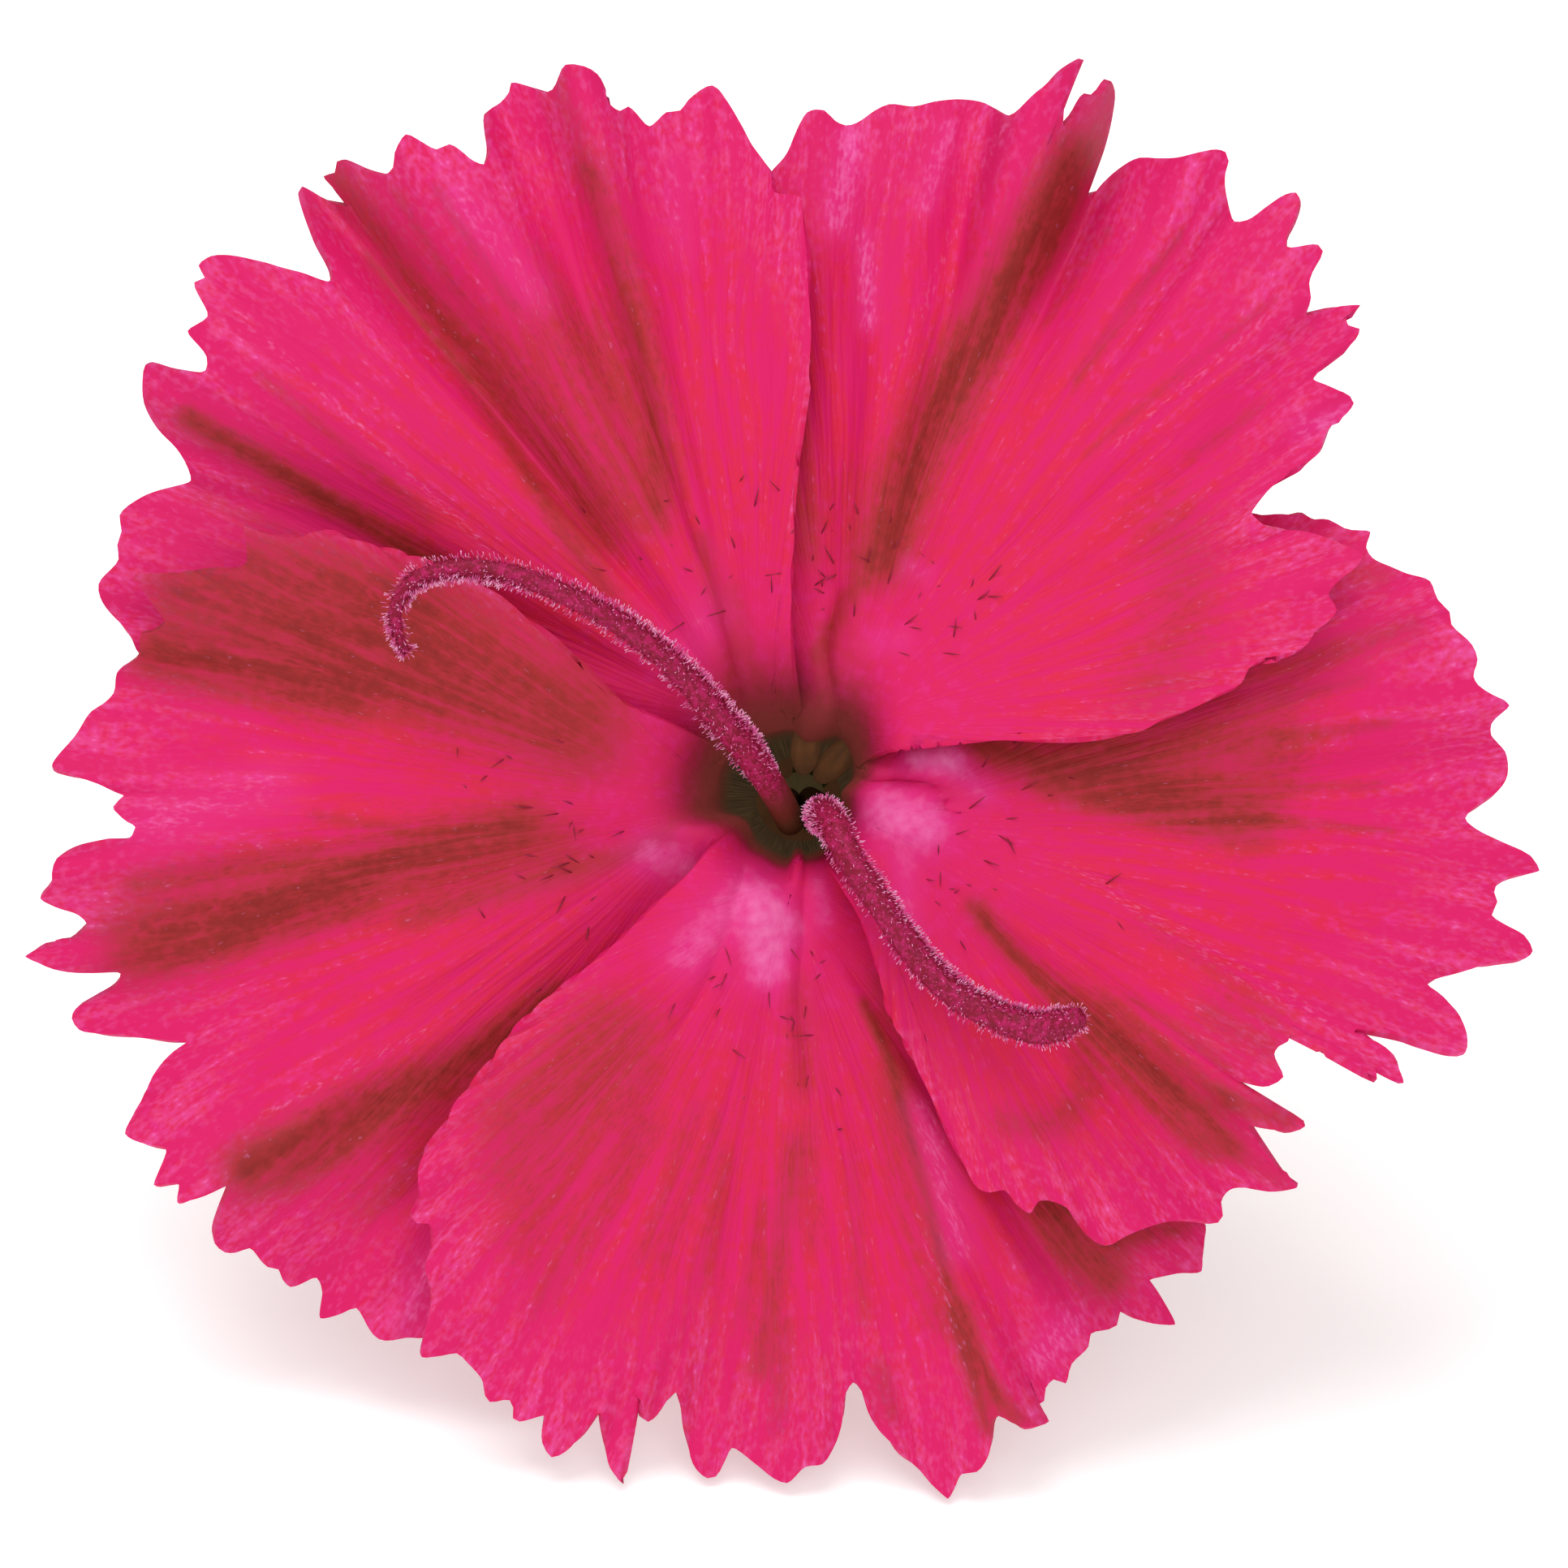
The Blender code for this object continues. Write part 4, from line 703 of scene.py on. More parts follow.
def strokes(petal, places, marks):
    """How strongly a list of soft strokes covers each place."""
    bare = np.ones(places.shape[:-1])
    for path, half_width, strength in marks:
        near, far = half_width if isinstance(half_width, tuple) else (half_width, half_width)
        distance, share = along_path(places, on_petal(petal, path))
        bare *= 1 - strength * np.exp(-((distance / (near + (far - near) * share)) ** 2))
    return 1 - bare


def flower_pose():
    """Where the flower's own frame lies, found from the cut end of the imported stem."""
    turn = Euler((math.radians(LEAN), math.radians(ROLL), 0.0)).to_matrix()
    axis = turn @ Vector((0.0, 0.0, 1.0))
    corners = [vertex.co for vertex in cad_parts["stem"].data.vertices]
    lowest = min(corner.dot(axis) for corner in corners)
    cut = [corner for corner in corners if corner.dot(axis) < lowest + CUT_TOLERANCE]
    middle = axis * lowest
    for side in (turn @ Vector((1, 0, 0)), turn @ Vector((0, 1, 0))):
        reaches = [corner.dot(side) for corner in cut]
        middle += side * (max(reaches) + min(reaches)) / 2
    shift = middle - turn @ (Vector(STEM_CUT_CENTRE) * 0.001)
    return Matrix.Translation(shift) @ turn.to_4x4()


FLOWER_POSE = flower_pose()
MILLIMETRES = Matrix.Scale(0.001, 4)


class Value:
    """A socket whose number or colour varies over a surface. Arithmetic on it adds Math nodes."""

    def __init__(self, shader, socket):
        self.shader = shader
        self.socket = socket

    def math(self, operation, *others, clamp=False):
        return self.shader.math(operation, self, *others, clamp=clamp)

    def __add__(self, other):
        return self.math("ADD", other)

    def __sub__(self, other):
        return self.math("SUBTRACT", other)

    def __rsub__(self, other):
        return self.shader.math("SUBTRACT", other, self)

    def __mul__(self, other):
        return self.math("MULTIPLY", other)

    __radd__ = __add__
    __rmul__ = __mul__

    def between(self, low, high):
        """0 below low, 1 above high, and a soft step from one to the other."""
        inputs = {"Value": self, "From Min": low, "From Max": high}
        return self.shader.node("ShaderNodeMapRange", {"interpolation_type": "SMOOTHSTEP"}, inputs)

    def clamp(self):
        return self.math("ADD", 0.0, clamp=True)


class Shader:
    """One material, with short ways to add nodes to it."""

    def __init__(self, name, roughness, specular):
        self.material = bpy.data.materials.new(name)
        self.material.use_nodes = True
        self.tree = self.material.node_tree
        self.surface = self.tree.nodes["Principled BSDF"]
        self.set("Roughness", roughness)
        self.set("Metallic", 0.0)
        self.set("Specular IOR Level", specular)

    def set(self, name, value):
        """Sets or links one socket of the surface."""
        self.feed(self.surface.inputs[name], value)

    def feed(self, socket, value):
        if isinstance(value, Value):
            self.tree.links.new(value.socket, socket)
        elif isinstance(value, tuple) and len(value) == 3 and socket.type == "RGBA":
            socket.default_value = (*value, 1.0)
        else:
            socket.default_value = value

    def node(self, kind, settings=None, inputs=(), output=0):
        """Adds a node: its settings first, then the values or links of its sockets."""
        made = self.tree.nodes.new(kind)
        for key, value in (settings or {}).items():
            setattr(made, key, value)
        pairs = inputs.items() if isinstance(inputs, dict) else enumerate(inputs)
        for key, value in pairs:
            self.feed(made.inputs[key], value)
        return Value(self, made.outputs[output])

    def math(self, operation, *inputs, clamp=False):
        return self.node("ShaderNodeMath", {"operation": operation, "use_clamp": clamp}, inputs)

    def mix(self, share, first, second):
        """Colour from first to second."""
        settings = {"data_type": "RGBA", "clamp_factor": True}
        return self.node("ShaderNodeMix", settings, {0: share, 6: first, 7: second}, output=2)

    def layers(self, colour, *coats):
        """A colour with others laid over it in turn, each as a (share, colour) pair."""
        for share, coat in coats:
            colour = self.mix(share, colour, coat)
        return colour

    def attribute(self, name):
        return self.node("ShaderNodeAttribute", {"attribute_name": name}, output="Fac")

    def place(self, scale=1000.0):
        """Object coordinates, in millimetres unless scaled otherwise."""
        inputs = {"Vector": self.node("ShaderNodeTexCoord", output="Object"), "Scale": scale}
        return self.node("ShaderNodeVectorMath", {"operation": "SCALE"}, inputs)

    def blade(self):
        """The two directions of the piece's own map, as separate values."""
        across = self.node("ShaderNodeSeparateXYZ", inputs=(self.node("ShaderNodeTexCoord", output="UV"),))
        return across, Value(self, across.socket.node.outputs[1])

    def point(self, x, y):
        return self.node("ShaderNodeCombineXYZ", inputs=(x, y, 0.0))

    def noise(self, where, scale=1.0, detail=2.0, flat=False):
        inputs = {"Vector": where, "Scale": scale, "Detail": detail}
        return self.node("ShaderNodeTexNoise", {"noise_dimensions": "2D" if flat else "3D"}, inputs)

    def glow(self, colour, strength=1.0):
        """Painted light: a faint glow of its own, standing in for light that comes through the tissue."""
        self.set("Emission Color", colour)
        self.set("Emission Strength", strength)

    def bump(self, height, strength, distance):
        inputs = {"Strength": strength, "Distance": distance, "Height": height}
        self.set("Normal", self.node("ShaderNodeBump", inputs=inputs))


PINK = (0.62, 0.009, 0.115)
CORAL = (0.63, 0.014, 0.060)
MAGENTA = (0.68, 0.030, 0.24)
ROSE = (0.72, 0.085, 0.33)
PALE_ROSE = (0.80, 0.20, 0.45)
# Deep red painted shade for the folds, and a darker one for their cores.
PAINTED_SHADE_RED = (0.35, 0.023, 0.024)
PAINTED_DEEP_SHADE_RED = (0.22, 0.016, 0.014)
DARK_VEIN = (0.20, 0.009, 0.013)
# Painted shade in the throat: brown-red, and dark olive deeper in the claws, partly their own green.
THROAT_SHADE_BROWN = (0.20, 0.020, 0.023)
THROAT_SHADE_GREEN = (0.055, 0.040, 0.020)
BLACK = (0.0, 0.0, 0.0)
# Painted light: faint glows of their own that light up the dark throat and its parts.
BROWN_GLOW = (0.045, 0.013, 0.008)
OLIVE_GLOW = (0.045, 0.027, 0.012)
DARK_OLIVE_GLOW = (0.017, 0.011, 0.006)
THROAT_GLOW = (0.028, 0.018, 0.009)
ANTHER_GLOW = (0.034, 0.0145, 0.006)


def petal_material():
    """Velvety crimson-pink tissue: soft rays, deep red painted shade in the folds, pale pink partly painted
    light, a paler mottled margin with a painted sheen, painted glints, and painted shade and glow in the
    throat.
    """
    shader = Shader("petal_face", 0.6, specular=0.14)
    across, out = shader.blade()
    cloud = shader.noise(shader.place(), scale=3.0, detail=3)
    rays = shader.noise(shader.point(across * 62, out * 5), detail=3, flat=True)
    fine = shader.noise(shader.point(across * 230, out * 70), detail=1, flat=True)
    painted_shade, pale_and_painted_light, rim, throat_shade, ridge = map(shader.attribute, ("painted_shade", "pale_and_painted_light", "rim", "throat_shade", "ridge"))
    grown = out.between(0.08, 0.42) * 0.85 + 0.15
    ray = (rays - 0.5) * grown
    fibre = (fine - 0.5) * grown
    puff = cloud - 0.5
    middle = out.between(0.15, 0.35) * (1 - out.between(0.45, 0.85))
    warm = ray * 3.4 + puff * 1.4 + middle * 0.4 + 0.15
    cool = ray * 2.4 + fibre - puff * 1.6 - middle * 0.3 - 0.02
    streak = ray * 0.9 + fibre * 0.25 + puff * 0.6
    # Painted shade: the deep red strokes of the folds, with streaks through them.
    shade = painted_shade * (streak * 0.6 + 1.0) + streak * 0.35
    veins = (1 - (rays - 0.5).math("ABSOLUTE") * 20).clamp() * fine.between(0.4, 0.65) * grown
    # Pale pink from the pale strokes, partly the tissue's own tint and partly painted light.
    lilac = pale_and_painted_light * 1.6 + pale_and_painted_light * (ray * 2.0 + puff * 1.5) - 0.05
    pale = pale_and_painted_light * (0.98 + puff * 1.5 + fibre * 2.2 + ray * 0.9) - 0.3
    # A paler mottled margin with a painted sheen.
    pale_margin_and_sheen = rim * (1 - painted_shade) * (ray * 1.5 + fibre * 1.5 + puff * 1.8 + 0.16)
    # Painted highlights: pale sparkles over the tissue and glints along the ridges.
    sparkle = fine.between(0.7, 0.78) * rays.between(0.56, 0.66)
    glint = ridge * fine.between(0.52, 0.7)
    # Painted shade in the throat: brown-red round it, and dark olive deeper in the claws, partly their own
    # green.
    brown = (throat_shade + throat_shade * (ray * 1.2 + puff * 0.5)).between(0.05, 1.0)
    green = throat_shade.between(1.1, 1.9)
    shader.set("Base Color", shader.layers(
        PINK,
        (warm.clamp(), CORAL),
        (cool.clamp() * 0.75, MAGENTA),
        (shade.between(0.0, 1.1) * 0.97, PAINTED_SHADE_RED),
        (shade.between(0.72, 1.25) * 0.92, PAINTED_DEEP_SHADE_RED),
        (veins * (painted_shade * 0.32 + 0.06), DARK_VEIN),
        (lilac.clamp() * 0.8, MAGENTA),
        (pale.clamp() * 0.85, PALE_ROSE),
        (pale_margin_and_sheen.clamp() * 0.65, ROSE),
        ((sparkle * 0.22 + glint * 0.2).clamp(), PALE_ROSE),
        (brown, THROAT_SHADE_BROWN),
        (green, THROAT_SHADE_GREEN),
    ))
    # Painted light: where the throat is shaded it glows faintly, brown, and olive deeper in the claws.
    olive = shader.mix(rays.between(0.38, 0.62), DARK_OLIVE_GLOW, OLIVE_GLOW)
    shader.glow(shader.layers(BLACK, (throat_shade.between(0.5, 1.1), BROWN_GLOW), (green, olive)))
    shader.bump(ray, 0.4, 0.00014)
    return shader.material


def style_material():
    """Dark crimson tissue with fine magenta flecks, and a brown-red painted shade down in the throat."""
    shader = Shader("style_tissue", 0.5, specular=0.1)
    across, along = shader.blade()
    dashes = shader.noise(shader.point(across * 9, along * 60), detail=2, flat=True)
    spots = shader.noise(shader.place(), scale=6, detail=2)
    flecks = shader.noise(shader.place(), scale=15, detail=1)
    throat_shade = shader.attribute("throat_shade")
    shader.set("Base Color", shader.layers(
        (0.22, 0.008, 0.030),
        (spots.between(0.4, 0.66), (0.38, 0.012, 0.085)),
        (dashes.between(0.5, 0.7) * 0.6, (0.18, 0.010, 0.028)),
        (flecks.between(0.55, 0.7) * 0.42, (0.62, 0.042, 0.19)),
        # Painted shade down in the throat: brown-red, then olive.
        (throat_shade.between(0.0, 0.6), (0.17, 0.030, 0.022)),
        (throat_shade.between(0.6, 1.0) * 0.6, (0.12, 0.08, 0.03)),
    ))
    shader.bump(flecks + dashes * 0.5, 0.25, 0.00005)
    return shader.material


def hair_material():
    """Glassy hairs: crimson at the foot and pale pink at the tip."""
    shader = Shader("style_hairs", 0.35, specular=0.4)
    tip = shader.attribute("tip")
    tint = shader.noise(shader.place(), scale=3, detail=1)
    shader.set("Base Color", shader.layers(
        (0.36, 0.014, 0.06),
        (tip.between(0.2, 1.0), (0.76, 0.10, 0.36)),
        (tip.between(0.5, 1.0) * tint.between(0.45, 0.55), (0.95, 0.48, 0.72)),
    ))
    return shader.material


def barb_material():
    shader = Shader("petal_barbs", 0.5, specular=0.3)
    tint = shader.noise(shader.place(), scale=2, detail=1)
    shader.set("Base Color", shader.mix(tint, (0.14, 0.010, 0.018), (0.40, 0.014, 0.05)))
    return shader.material


def plant_material(name, light, dark, tip=None, roughness=0.45, lines=40.0, glow=None):
    """Green tissue with fine lengthwise lines, in UV, and a soft mottle. glow: a painted glow of its own,
    standing in for light through the tissue.
    """
    shader = Shader(name, roughness, specular=0.35)
    across, out = shader.blade()
    ribs = shader.noise(shader.point(across * lines, out * 2), detail=2)
    mottle = shader.noise(shader.place(), scale=1.6, detail=3)
    colour = shader.mix((ribs * 0.7 + mottle * 0.5).between(0.35, 0.8), dark, light)
    if tip:
        colour = shader.mix(shader.attribute("tip").between(0.2, 1.0), colour, tip)
    shader.set("Base Color", colour)
    if glow:
        shader.glow(glow)
    shader.bump(ribs + mottle * 0.4, 0.4, 0.0002)
    return shader.material


def add_object(name, data):
    obj = bpy.data.objects.new(name, data)
    bpy.context.scene.collection.objects.link(obj)
    return obj


def mesh_object(name, kind, **options):
    """A new primitive, as the only selected object."""
    bpy.ops.object.select_all(action="DESELECT")
    getattr(bpy.ops.mesh, kind)(**options)
    obj = bpy.context.object
    obj.name = name
    obj.data.name = name
    return obj


def in_edit_mode(operator, **options):
    """Runs an operator on the whole of the active mesh."""
    bpy.ops.object.mode_set(mode="EDIT")
    bpy.ops.mesh.select_all(action="SELECT")
    operator(**options)
    bpy.ops.object.mode_set(mode="OBJECT")


def thicken(obj, thickness):
    """Gives the active sheet a wall, half of it to each side."""
    modifier = obj.modifiers.new("wall", "SOLIDIFY")
    modifier.thickness = thickness
    modifier.offset = 0.0
    bpy.ops.object.modifier_apply(modifier=modifier.name)


def settle(obj, replaced, material):
    """Takes a piece from the flower's frame to the world, gives it its material, hangs it on the root and
    hides the imported parts it replaces.
    """
    obj.data.transform(FLOWER_POSE @ MILLIMETRES)
    obj.data.materials.clear()
    obj.data.materials.append(material)
    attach(obj, "root")
    if replaced:
        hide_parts(*replaced)


def paint(mesh, name, values):
    """Writes one number a vertex as an attribute."""
    layer = mesh.attributes.new(name, "FLOAT", "POINT")
    layer.data.foreach_set("value", np.asarray(values, np.float32).ravel())


def grid_piece(name, places, blade, painted, ring=True):
    """A sheet from a grid primitive, which stays the active object.

    places is an array of (row, column, xyz). blade holds the two coordinates of the piece's map, and
    painted its attributes, in arrays of (row, column). A ring is joined along its side, faces outwards.
    """
    rows, columns = places.shape[0] - 1, places.shape[1] - 1
    obj = mesh_object(
        name, "primitive_grid_add", x_subdivisions=columns, y_subdivisions=rows, size=2, calc_uvs=False
    )
    mesh = obj.data
    flat = np.empty(len(mesh.vertices) * 3)
    mesh.vertices.foreach_get("co", flat)
    flat = flat.reshape(-1, 3)
    column = np.rint((flat[:, 0] + 1) / 2 * columns).astype(int)
    row = np.rint((flat[:, 1] + 1) / 2 * rows).astype(int)
    mesh.vertices.foreach_set("co", places[row, column].astype(np.float32).ravel())
    for label, values in painted.items():
        paint(mesh, label, values[row, column])
    corners = np.empty(len(mesh.loops), int)
    mesh.loops.foreach_get("vertex_index", corners)
    coordinates = np.stack(np.broadcast_arrays(*blade), axis=-1)[row, column][corners]
    mesh.uv_layers.new(name="blade").data.foreach_set("uv", coordinates.astype(np.float32).ravel())
    mesh.update()
    mesh.shade_smooth()
    if ring:
        in_edit_mode(bpy.ops.mesh.remove_doubles, threshold=RING_MERGE)
        in_edit_mode(bpy.ops.mesh.normals_make_consistent, inside=False)
    return obj


def petal_folds(petal, heading, reach):
    """Height of the broad folds at a heading and a reach from the claw."""
    fold = curve_through(petal["folds"], heading)
    if "inner_folds" in petal:
        outer = smooth_step((reach - INNER_FOLDS_END) / INNER_FOLDS_FADE)
        fold = fold * outer + curve_through(petal["inner_folds"], heading) * (1 - outer)
    grown = np.maximum(reach - FOLD_START, 0.0) / (FOLD_REACH - FOLD_START)
    return fold * grown**FOLD_POWER


def throat_at(angle):
    """The throat's rim radius, shoulder width and reach of its painted shade at an angle round the flower.
    """
    marks = [(mark[0] + turn, *mark[1:]) for turn in (-360, 0, 360) for mark in THROAT]
    angle = np.mod(angle, 360)
    return tuple(curve_through([(mark[0], mark[k]) for mark in marks], angle) for k in (1, 2, 3))


def limb_height(petal, plan):
    """Height of the limb over points of the plan, without its finest waves; also each point's heading
    and reach from the claw, and how much of the throat's painted shade it has."""
    arm = plan - claw_base(petal)
    heading = heading_of(arm)
    middle = np.mean([place for place, _ in petal["folds"][1:-1]])
    heading += 360 * np.rint((middle - heading) / 360)
    out = np.linalg.norm(arm, axis=-1)
    radius = np.linalg.norm(plan, axis=-1)
    angle = heading_of(plan)
    turned = petal["claw"] - angle
    turned -= 360 * np.rint(turned / 360)
    rim_radius, shoulder, dark_reach = throat_at(angle)
    outside = radius - rim_radius
    fall = 1 - clamped(outside / shoulder)
    hollow = clamped((shoulder - NARROW_SHOULDER) / (WIDE_SHOULDER - NARROW_SHOULDER))
    height = -BEND_DEPTH * (hollow * fall**2 + (1 - hollow) * (1 - np.sqrt(1 - fall**2)))
    height += LIFT * turned / LIFT_ANGLE * smooth_step(outside / LIFT_RAMP)
    height += petal_folds(petal, heading, out)
    height -= DROOP * (np.maximum(radius - DROOP_START, 0.0) / (DROOP_RADIUS - DROOP_START)) ** 2
    for x, y, size, rise in petal.get("swellings", ()):
        away = np.hypot(plan[..., 0] - x, plan[..., 1] - y)
        height += rise * np.exp(-((away / size) ** 2)) * smooth_step(outside / SWELLING_RAMP)
    for path, half_width, depth in petal.get("creases", ()):
        distance, _ = along_path(plan, on_petal(petal, path))
        height -= depth * np.exp(-((distance / half_width) ** 2))
    share_out = np.maximum(outside, 0) / (DARK_CORE_REACH * dark_reach)
    dark = DARK_CORE * np.exp(-(share_out**2))
    dark += (1 - DARK_CORE) * np.exp(-((share_out / DARK_HALO_REACH) ** 2))
    return height, heading, out, dark


def petal_sheet(petal, seed):
    """The petal's middle surface: places, the two coordinates of its map, and painted values."""
    base = claw_base(petal)
    edge = spline(petal["edge"], OUTLINE_STEP)
    heading = np.unwrap(heading_of(edge - base), period=360)
    reach = np.linalg.norm(edge - base, axis=1)

    # The limb's rays end on a smooth line inside the teeth, and short rays go on into each tooth.
    ordered = (np.maximum.accumulate(heading) + np.minimum.accumulate(heading[::-1])[::-1]) / 2
    ordered = moving_average(ordered, 4) + np.linspace(-0.5, 0.5, len(ordered))
    inner_reach = lowest_near(reach, 6)
    inner_reach = moving_average(inner_reach - np.minimum(TOOTH_DEPTH, inner_reach * 0.3), 5)
    inner = base + inner_reach[:, None] * plan_way(ordered)
    share = (ordered - ordered[0]) / (ordered[-1] - ordered[0])
    low, high = petal["sides"]
    side_angle = low + (high - low) * share
    rim_radius, _, _ = throat_at(side_angle)
    start = plan_way(side_angle) * rim_radius[:, None]

    limb_t = (np.arange(LIMB_ROWS + 1) / LIMB_ROWS) ** LIMB_ROW_POWER
    limb = start[None] + limb_t[:, None, None] * (inner - start)[None]
    tooth_t = np.arange(1, TOOTH_ROWS + 1) / TOOTH_ROWS
    teeth = inner[None] + tooth_t[:, None, None] * (edge - inner)[None]
    plan = np.concatenate([limb, teeth])
    height, around, out, dark = limb_height(petal, plan)
    in_tooth = np.concatenate([np.zeros(LIMB_ROWS + 1), tooth_t])[:, None]
    tooth_size = moving_average(np.minimum(np.abs(np.gradient(reach)) / OUTLINE_STEP, 1.0), 8)
    height += fine_waves(around, out, in_tooth * tooth_size[None], seed)
    limb_places = np.concatenate([plan, height[..., None]], axis=-1)

    rows = np.arange(CLAW_ROWS)[:, None] / CLAW_ROWS
    narrowed = smooth_step((rows - NECK_START) / (NECK_END - NECK_START))
    opened = smooth_step((rows - NECK_END) / (1 - NECK_END))
    claw_radius = CLAW_FOOT_RADIUS + (NECK_RADIUS - CLAW_FOOT_RADIUS) * narrowed
    claw_radius = claw_radius + (rim_radius - NECK_RADIUS) * opened
    foot_angle = petal["claw"] + CLAW_FOOT_HALF_ANGLE * (2 * share - 1)
    angle = np.radians(foot_angle + (side_angle - foot_angle) * smooth_step(rows / CLAW_WIDE))
    depth = np.broadcast_to(CLAW_FOOT_Z + (-BEND_DEPTH - CLAW_FOOT_Z) * rows, angle.shape)
    places = np.concatenate([round_axis(claw_radius, angle, depth), limb_places])

    mapped_across = np.broadcast_to(ordered / 100, angle.shape)
    blade = (
        np.concatenate([mapped_across, ray_map(around, out, seed)]),
        np.concatenate([depth / MAP_LENGTH, out / MAP_LENGTH]),
    )
    limb_to_edge = inner_reach[None] + TOOTH_DEPTH - out[:LIMB_ROWS + 1]
    tooth_to_edge = np.broadcast_to(TOOTH_DEPTH * (1 - tooth_t)[:, None], out[LIMB_ROWS + 1:].shape)
    to_edge = np.concatenate([limb_to_edge, tooth_to_edge])
    painted = {
        # Painted shade in the folds, pale pink partly painted light, the margin, and the ridges' painted
        # glints.
        "painted_shade": strokes(petal, plan, petal["painted_shade"]),
        "pale_and_painted_light": strokes(petal, plan, petal["pale_and_painted_light"]),
        "rim": clamped(1 - to_edge / PALE_MARGIN) * (out > PALE_START),
        "ridge": strokes(petal, plan, [(path, RIDGE_HALF_WIDTH, 1.0) for path in petal["ridges"]]),
    }
    for label, values in painted.items():
        painted[label] = np.concatenate([np.zeros(angle.shape), values])
    # The throat's painted shade: dark over the limb near the throat, and from 1 up, deepening down the
    # claws.
    painted["throat_shade"] = np.concatenate([1 + clamped((-BEND_DEPTH - depth) / CLAW_DARK_DEPTH), dark])
    return places, blade, painted


def ray_map(around, out, seed):
    """Map coordinate across the rays, which wander a little instead of running dead straight."""
    draw = random.Random(seed + 100)
    wander = np.zeros(around.shape)
    for _ in range(7):
        turn = draw.uniform(-0.08, 0.08)
        along = draw.uniform(0.05, 0.18)
        wander += 0.22 * np.sin(2 * math.pi * (turn * around + along * out) + draw.uniform(0, 2 * math.pi))
    return (around + wander) / 100


def fine_waves(around, out, toothed, seed):
    """Small waves over the limb that grow towards the margin, and a bend in each tooth."""
    draw = random.Random(seed)
    waves = np.zeros(around.shape)
    for _ in range(8):
        pitch = draw.uniform(4.0, 16.0)
        phase = draw.uniform(0, 2 * math.pi)
        drift = draw.uniform(-0.25, 0.25)
        waves += np.sin(2 * math.pi * (around / pitch + drift * out) + phase) * pitch / 16.0
    for _ in range(5):
        pitch = draw.uniform(2.5, 6.0)
        phase = draw.uniform(0, 2 * math.pi)
        waves += 1.3 * toothed * np.sin(2 * math.pi * around / pitch + phase)
    return WAVE_HEIGHT * waves * clamped((out - 2.0) / 12.0)


def make_petal(name, petal, seed, material):
    obj = grid_piece(name + "_blade", *petal_sheet(petal, seed), ring=False)
    in_edit_mode(bpy.ops.mesh.remove_doubles, threshold=PETAL_MERGE)
    if sum(polygon.normal.z * polygon.area for polygon in obj.data.polygons) < 0:
        in_edit_mode(bpy.ops.mesh.flip_normals)
    thicken(obj, PETAL_WALL)
    # The margin's narrow rim keeps its own normals, so that it draws no dark line round the petal.
    bpy.ops.object.shade_smooth_by_angle(angle=math.radians(RIM_ANGLE))
    settle(obj, (name,), material)


def scatter(name, model, matrices):
    """One piece with a copy of the model's mesh at each matrix."""
    build = bmesh.new()
    for matrix in matrices:
        copy = model.data.copy()
        copy.transform(matrix)
        build.from_mesh(copy)
        bpy.data.meshes.remove(copy)
    bpy.data.objects.remove(model)
    mesh = bpy.data.meshes.new(name)
    build.to_mesh(mesh)
    build.free()
    mesh.shade_smooth()
    return add_object(name, mesh)


def hair_at(root, direction, thick, tall):
    """The matrix that stands a copied hair on its root."""
    turn = direction.to_track_quat("Z", "Y").to_matrix().to_4x4()
    return Matrix.Translation(root) @ turn @ Matrix.Diagonal((thick, thick, tall, 1.0))


def barb_model():
    """A thin pointed hair with a bend in it, one unit long along +Z, for copying."""
    barb = mesh_object(
        "barb", "primitive_cylinder_add", vertices=4, radius=1.0, depth=1.0, location=(0, 0, 0.5)
    )
    bpy.ops.object.transform_apply()
    in_edit_mode(bpy.ops.mesh.bisect, plane_co=(0, 0, 0.6), plane_no=(0, 0, 1))
    for vertex in barb.data.vertices:
        if vertex.co.z > 0.9:
            vertex.co.x *= 0.3
            vertex.co.y *= 0.3
        vertex.co.y += 6.0 * max(vertex.co.z - 0.6, 0.0)
    return barb


def make_barbs(material):
    """Small dark hairs that lie on the petals round the throat."""
    draw = random.Random(BARB_SEED)
    matrices = []
    for petal in PETALS.values():
        heading_low, heading_high, count, nearest = petal["barbs"]
        for _ in range(count):
            heading = draw.uniform(heading_low, heading_high)
            reach = draw.triangular(nearest, BARB_FARTHEST, nearest + 1.5)
            place = on_petal(petal, [(heading, reach)])
            height = limb_height(petal, place)[0][0]
            way = math.radians(heading + draw.gauss(0, 45))
            direction = Vector((math.cos(way), math.sin(way), draw.uniform(0.1, 0.45))).normalized()
            root = Vector((*place[0], height + PETAL_WALL / 2 - BARB_SINK))
            matrices.append(hair_at(root, direction, draw.uniform(*BARB_THICK), draw.uniform(*BARB_TALL)))
    settle(scatter("petal_barbs", barb_model(), matrices), (), material)


def path_frames(path, step):
    """Points on a smooth path, the way ahead, and a side and an upward direction that turn as little as
    they can."""
    points = spline(path, step)
    ahead = np.gradient(points, axis=0)
    ahead /= np.linalg.norm(ahead, axis=1)[:, None]
    side = np.cross(ahead[0], (0.0, 1.0, 0.0))
    sides = []
    for direction in ahead:
        side = side - direction * (side @ direction)
        side = side / np.linalg.norm(side)
        sides.append(side)
    sides = np.array(sides)
    return points, ahead, sides, np.cross(ahead, sides)


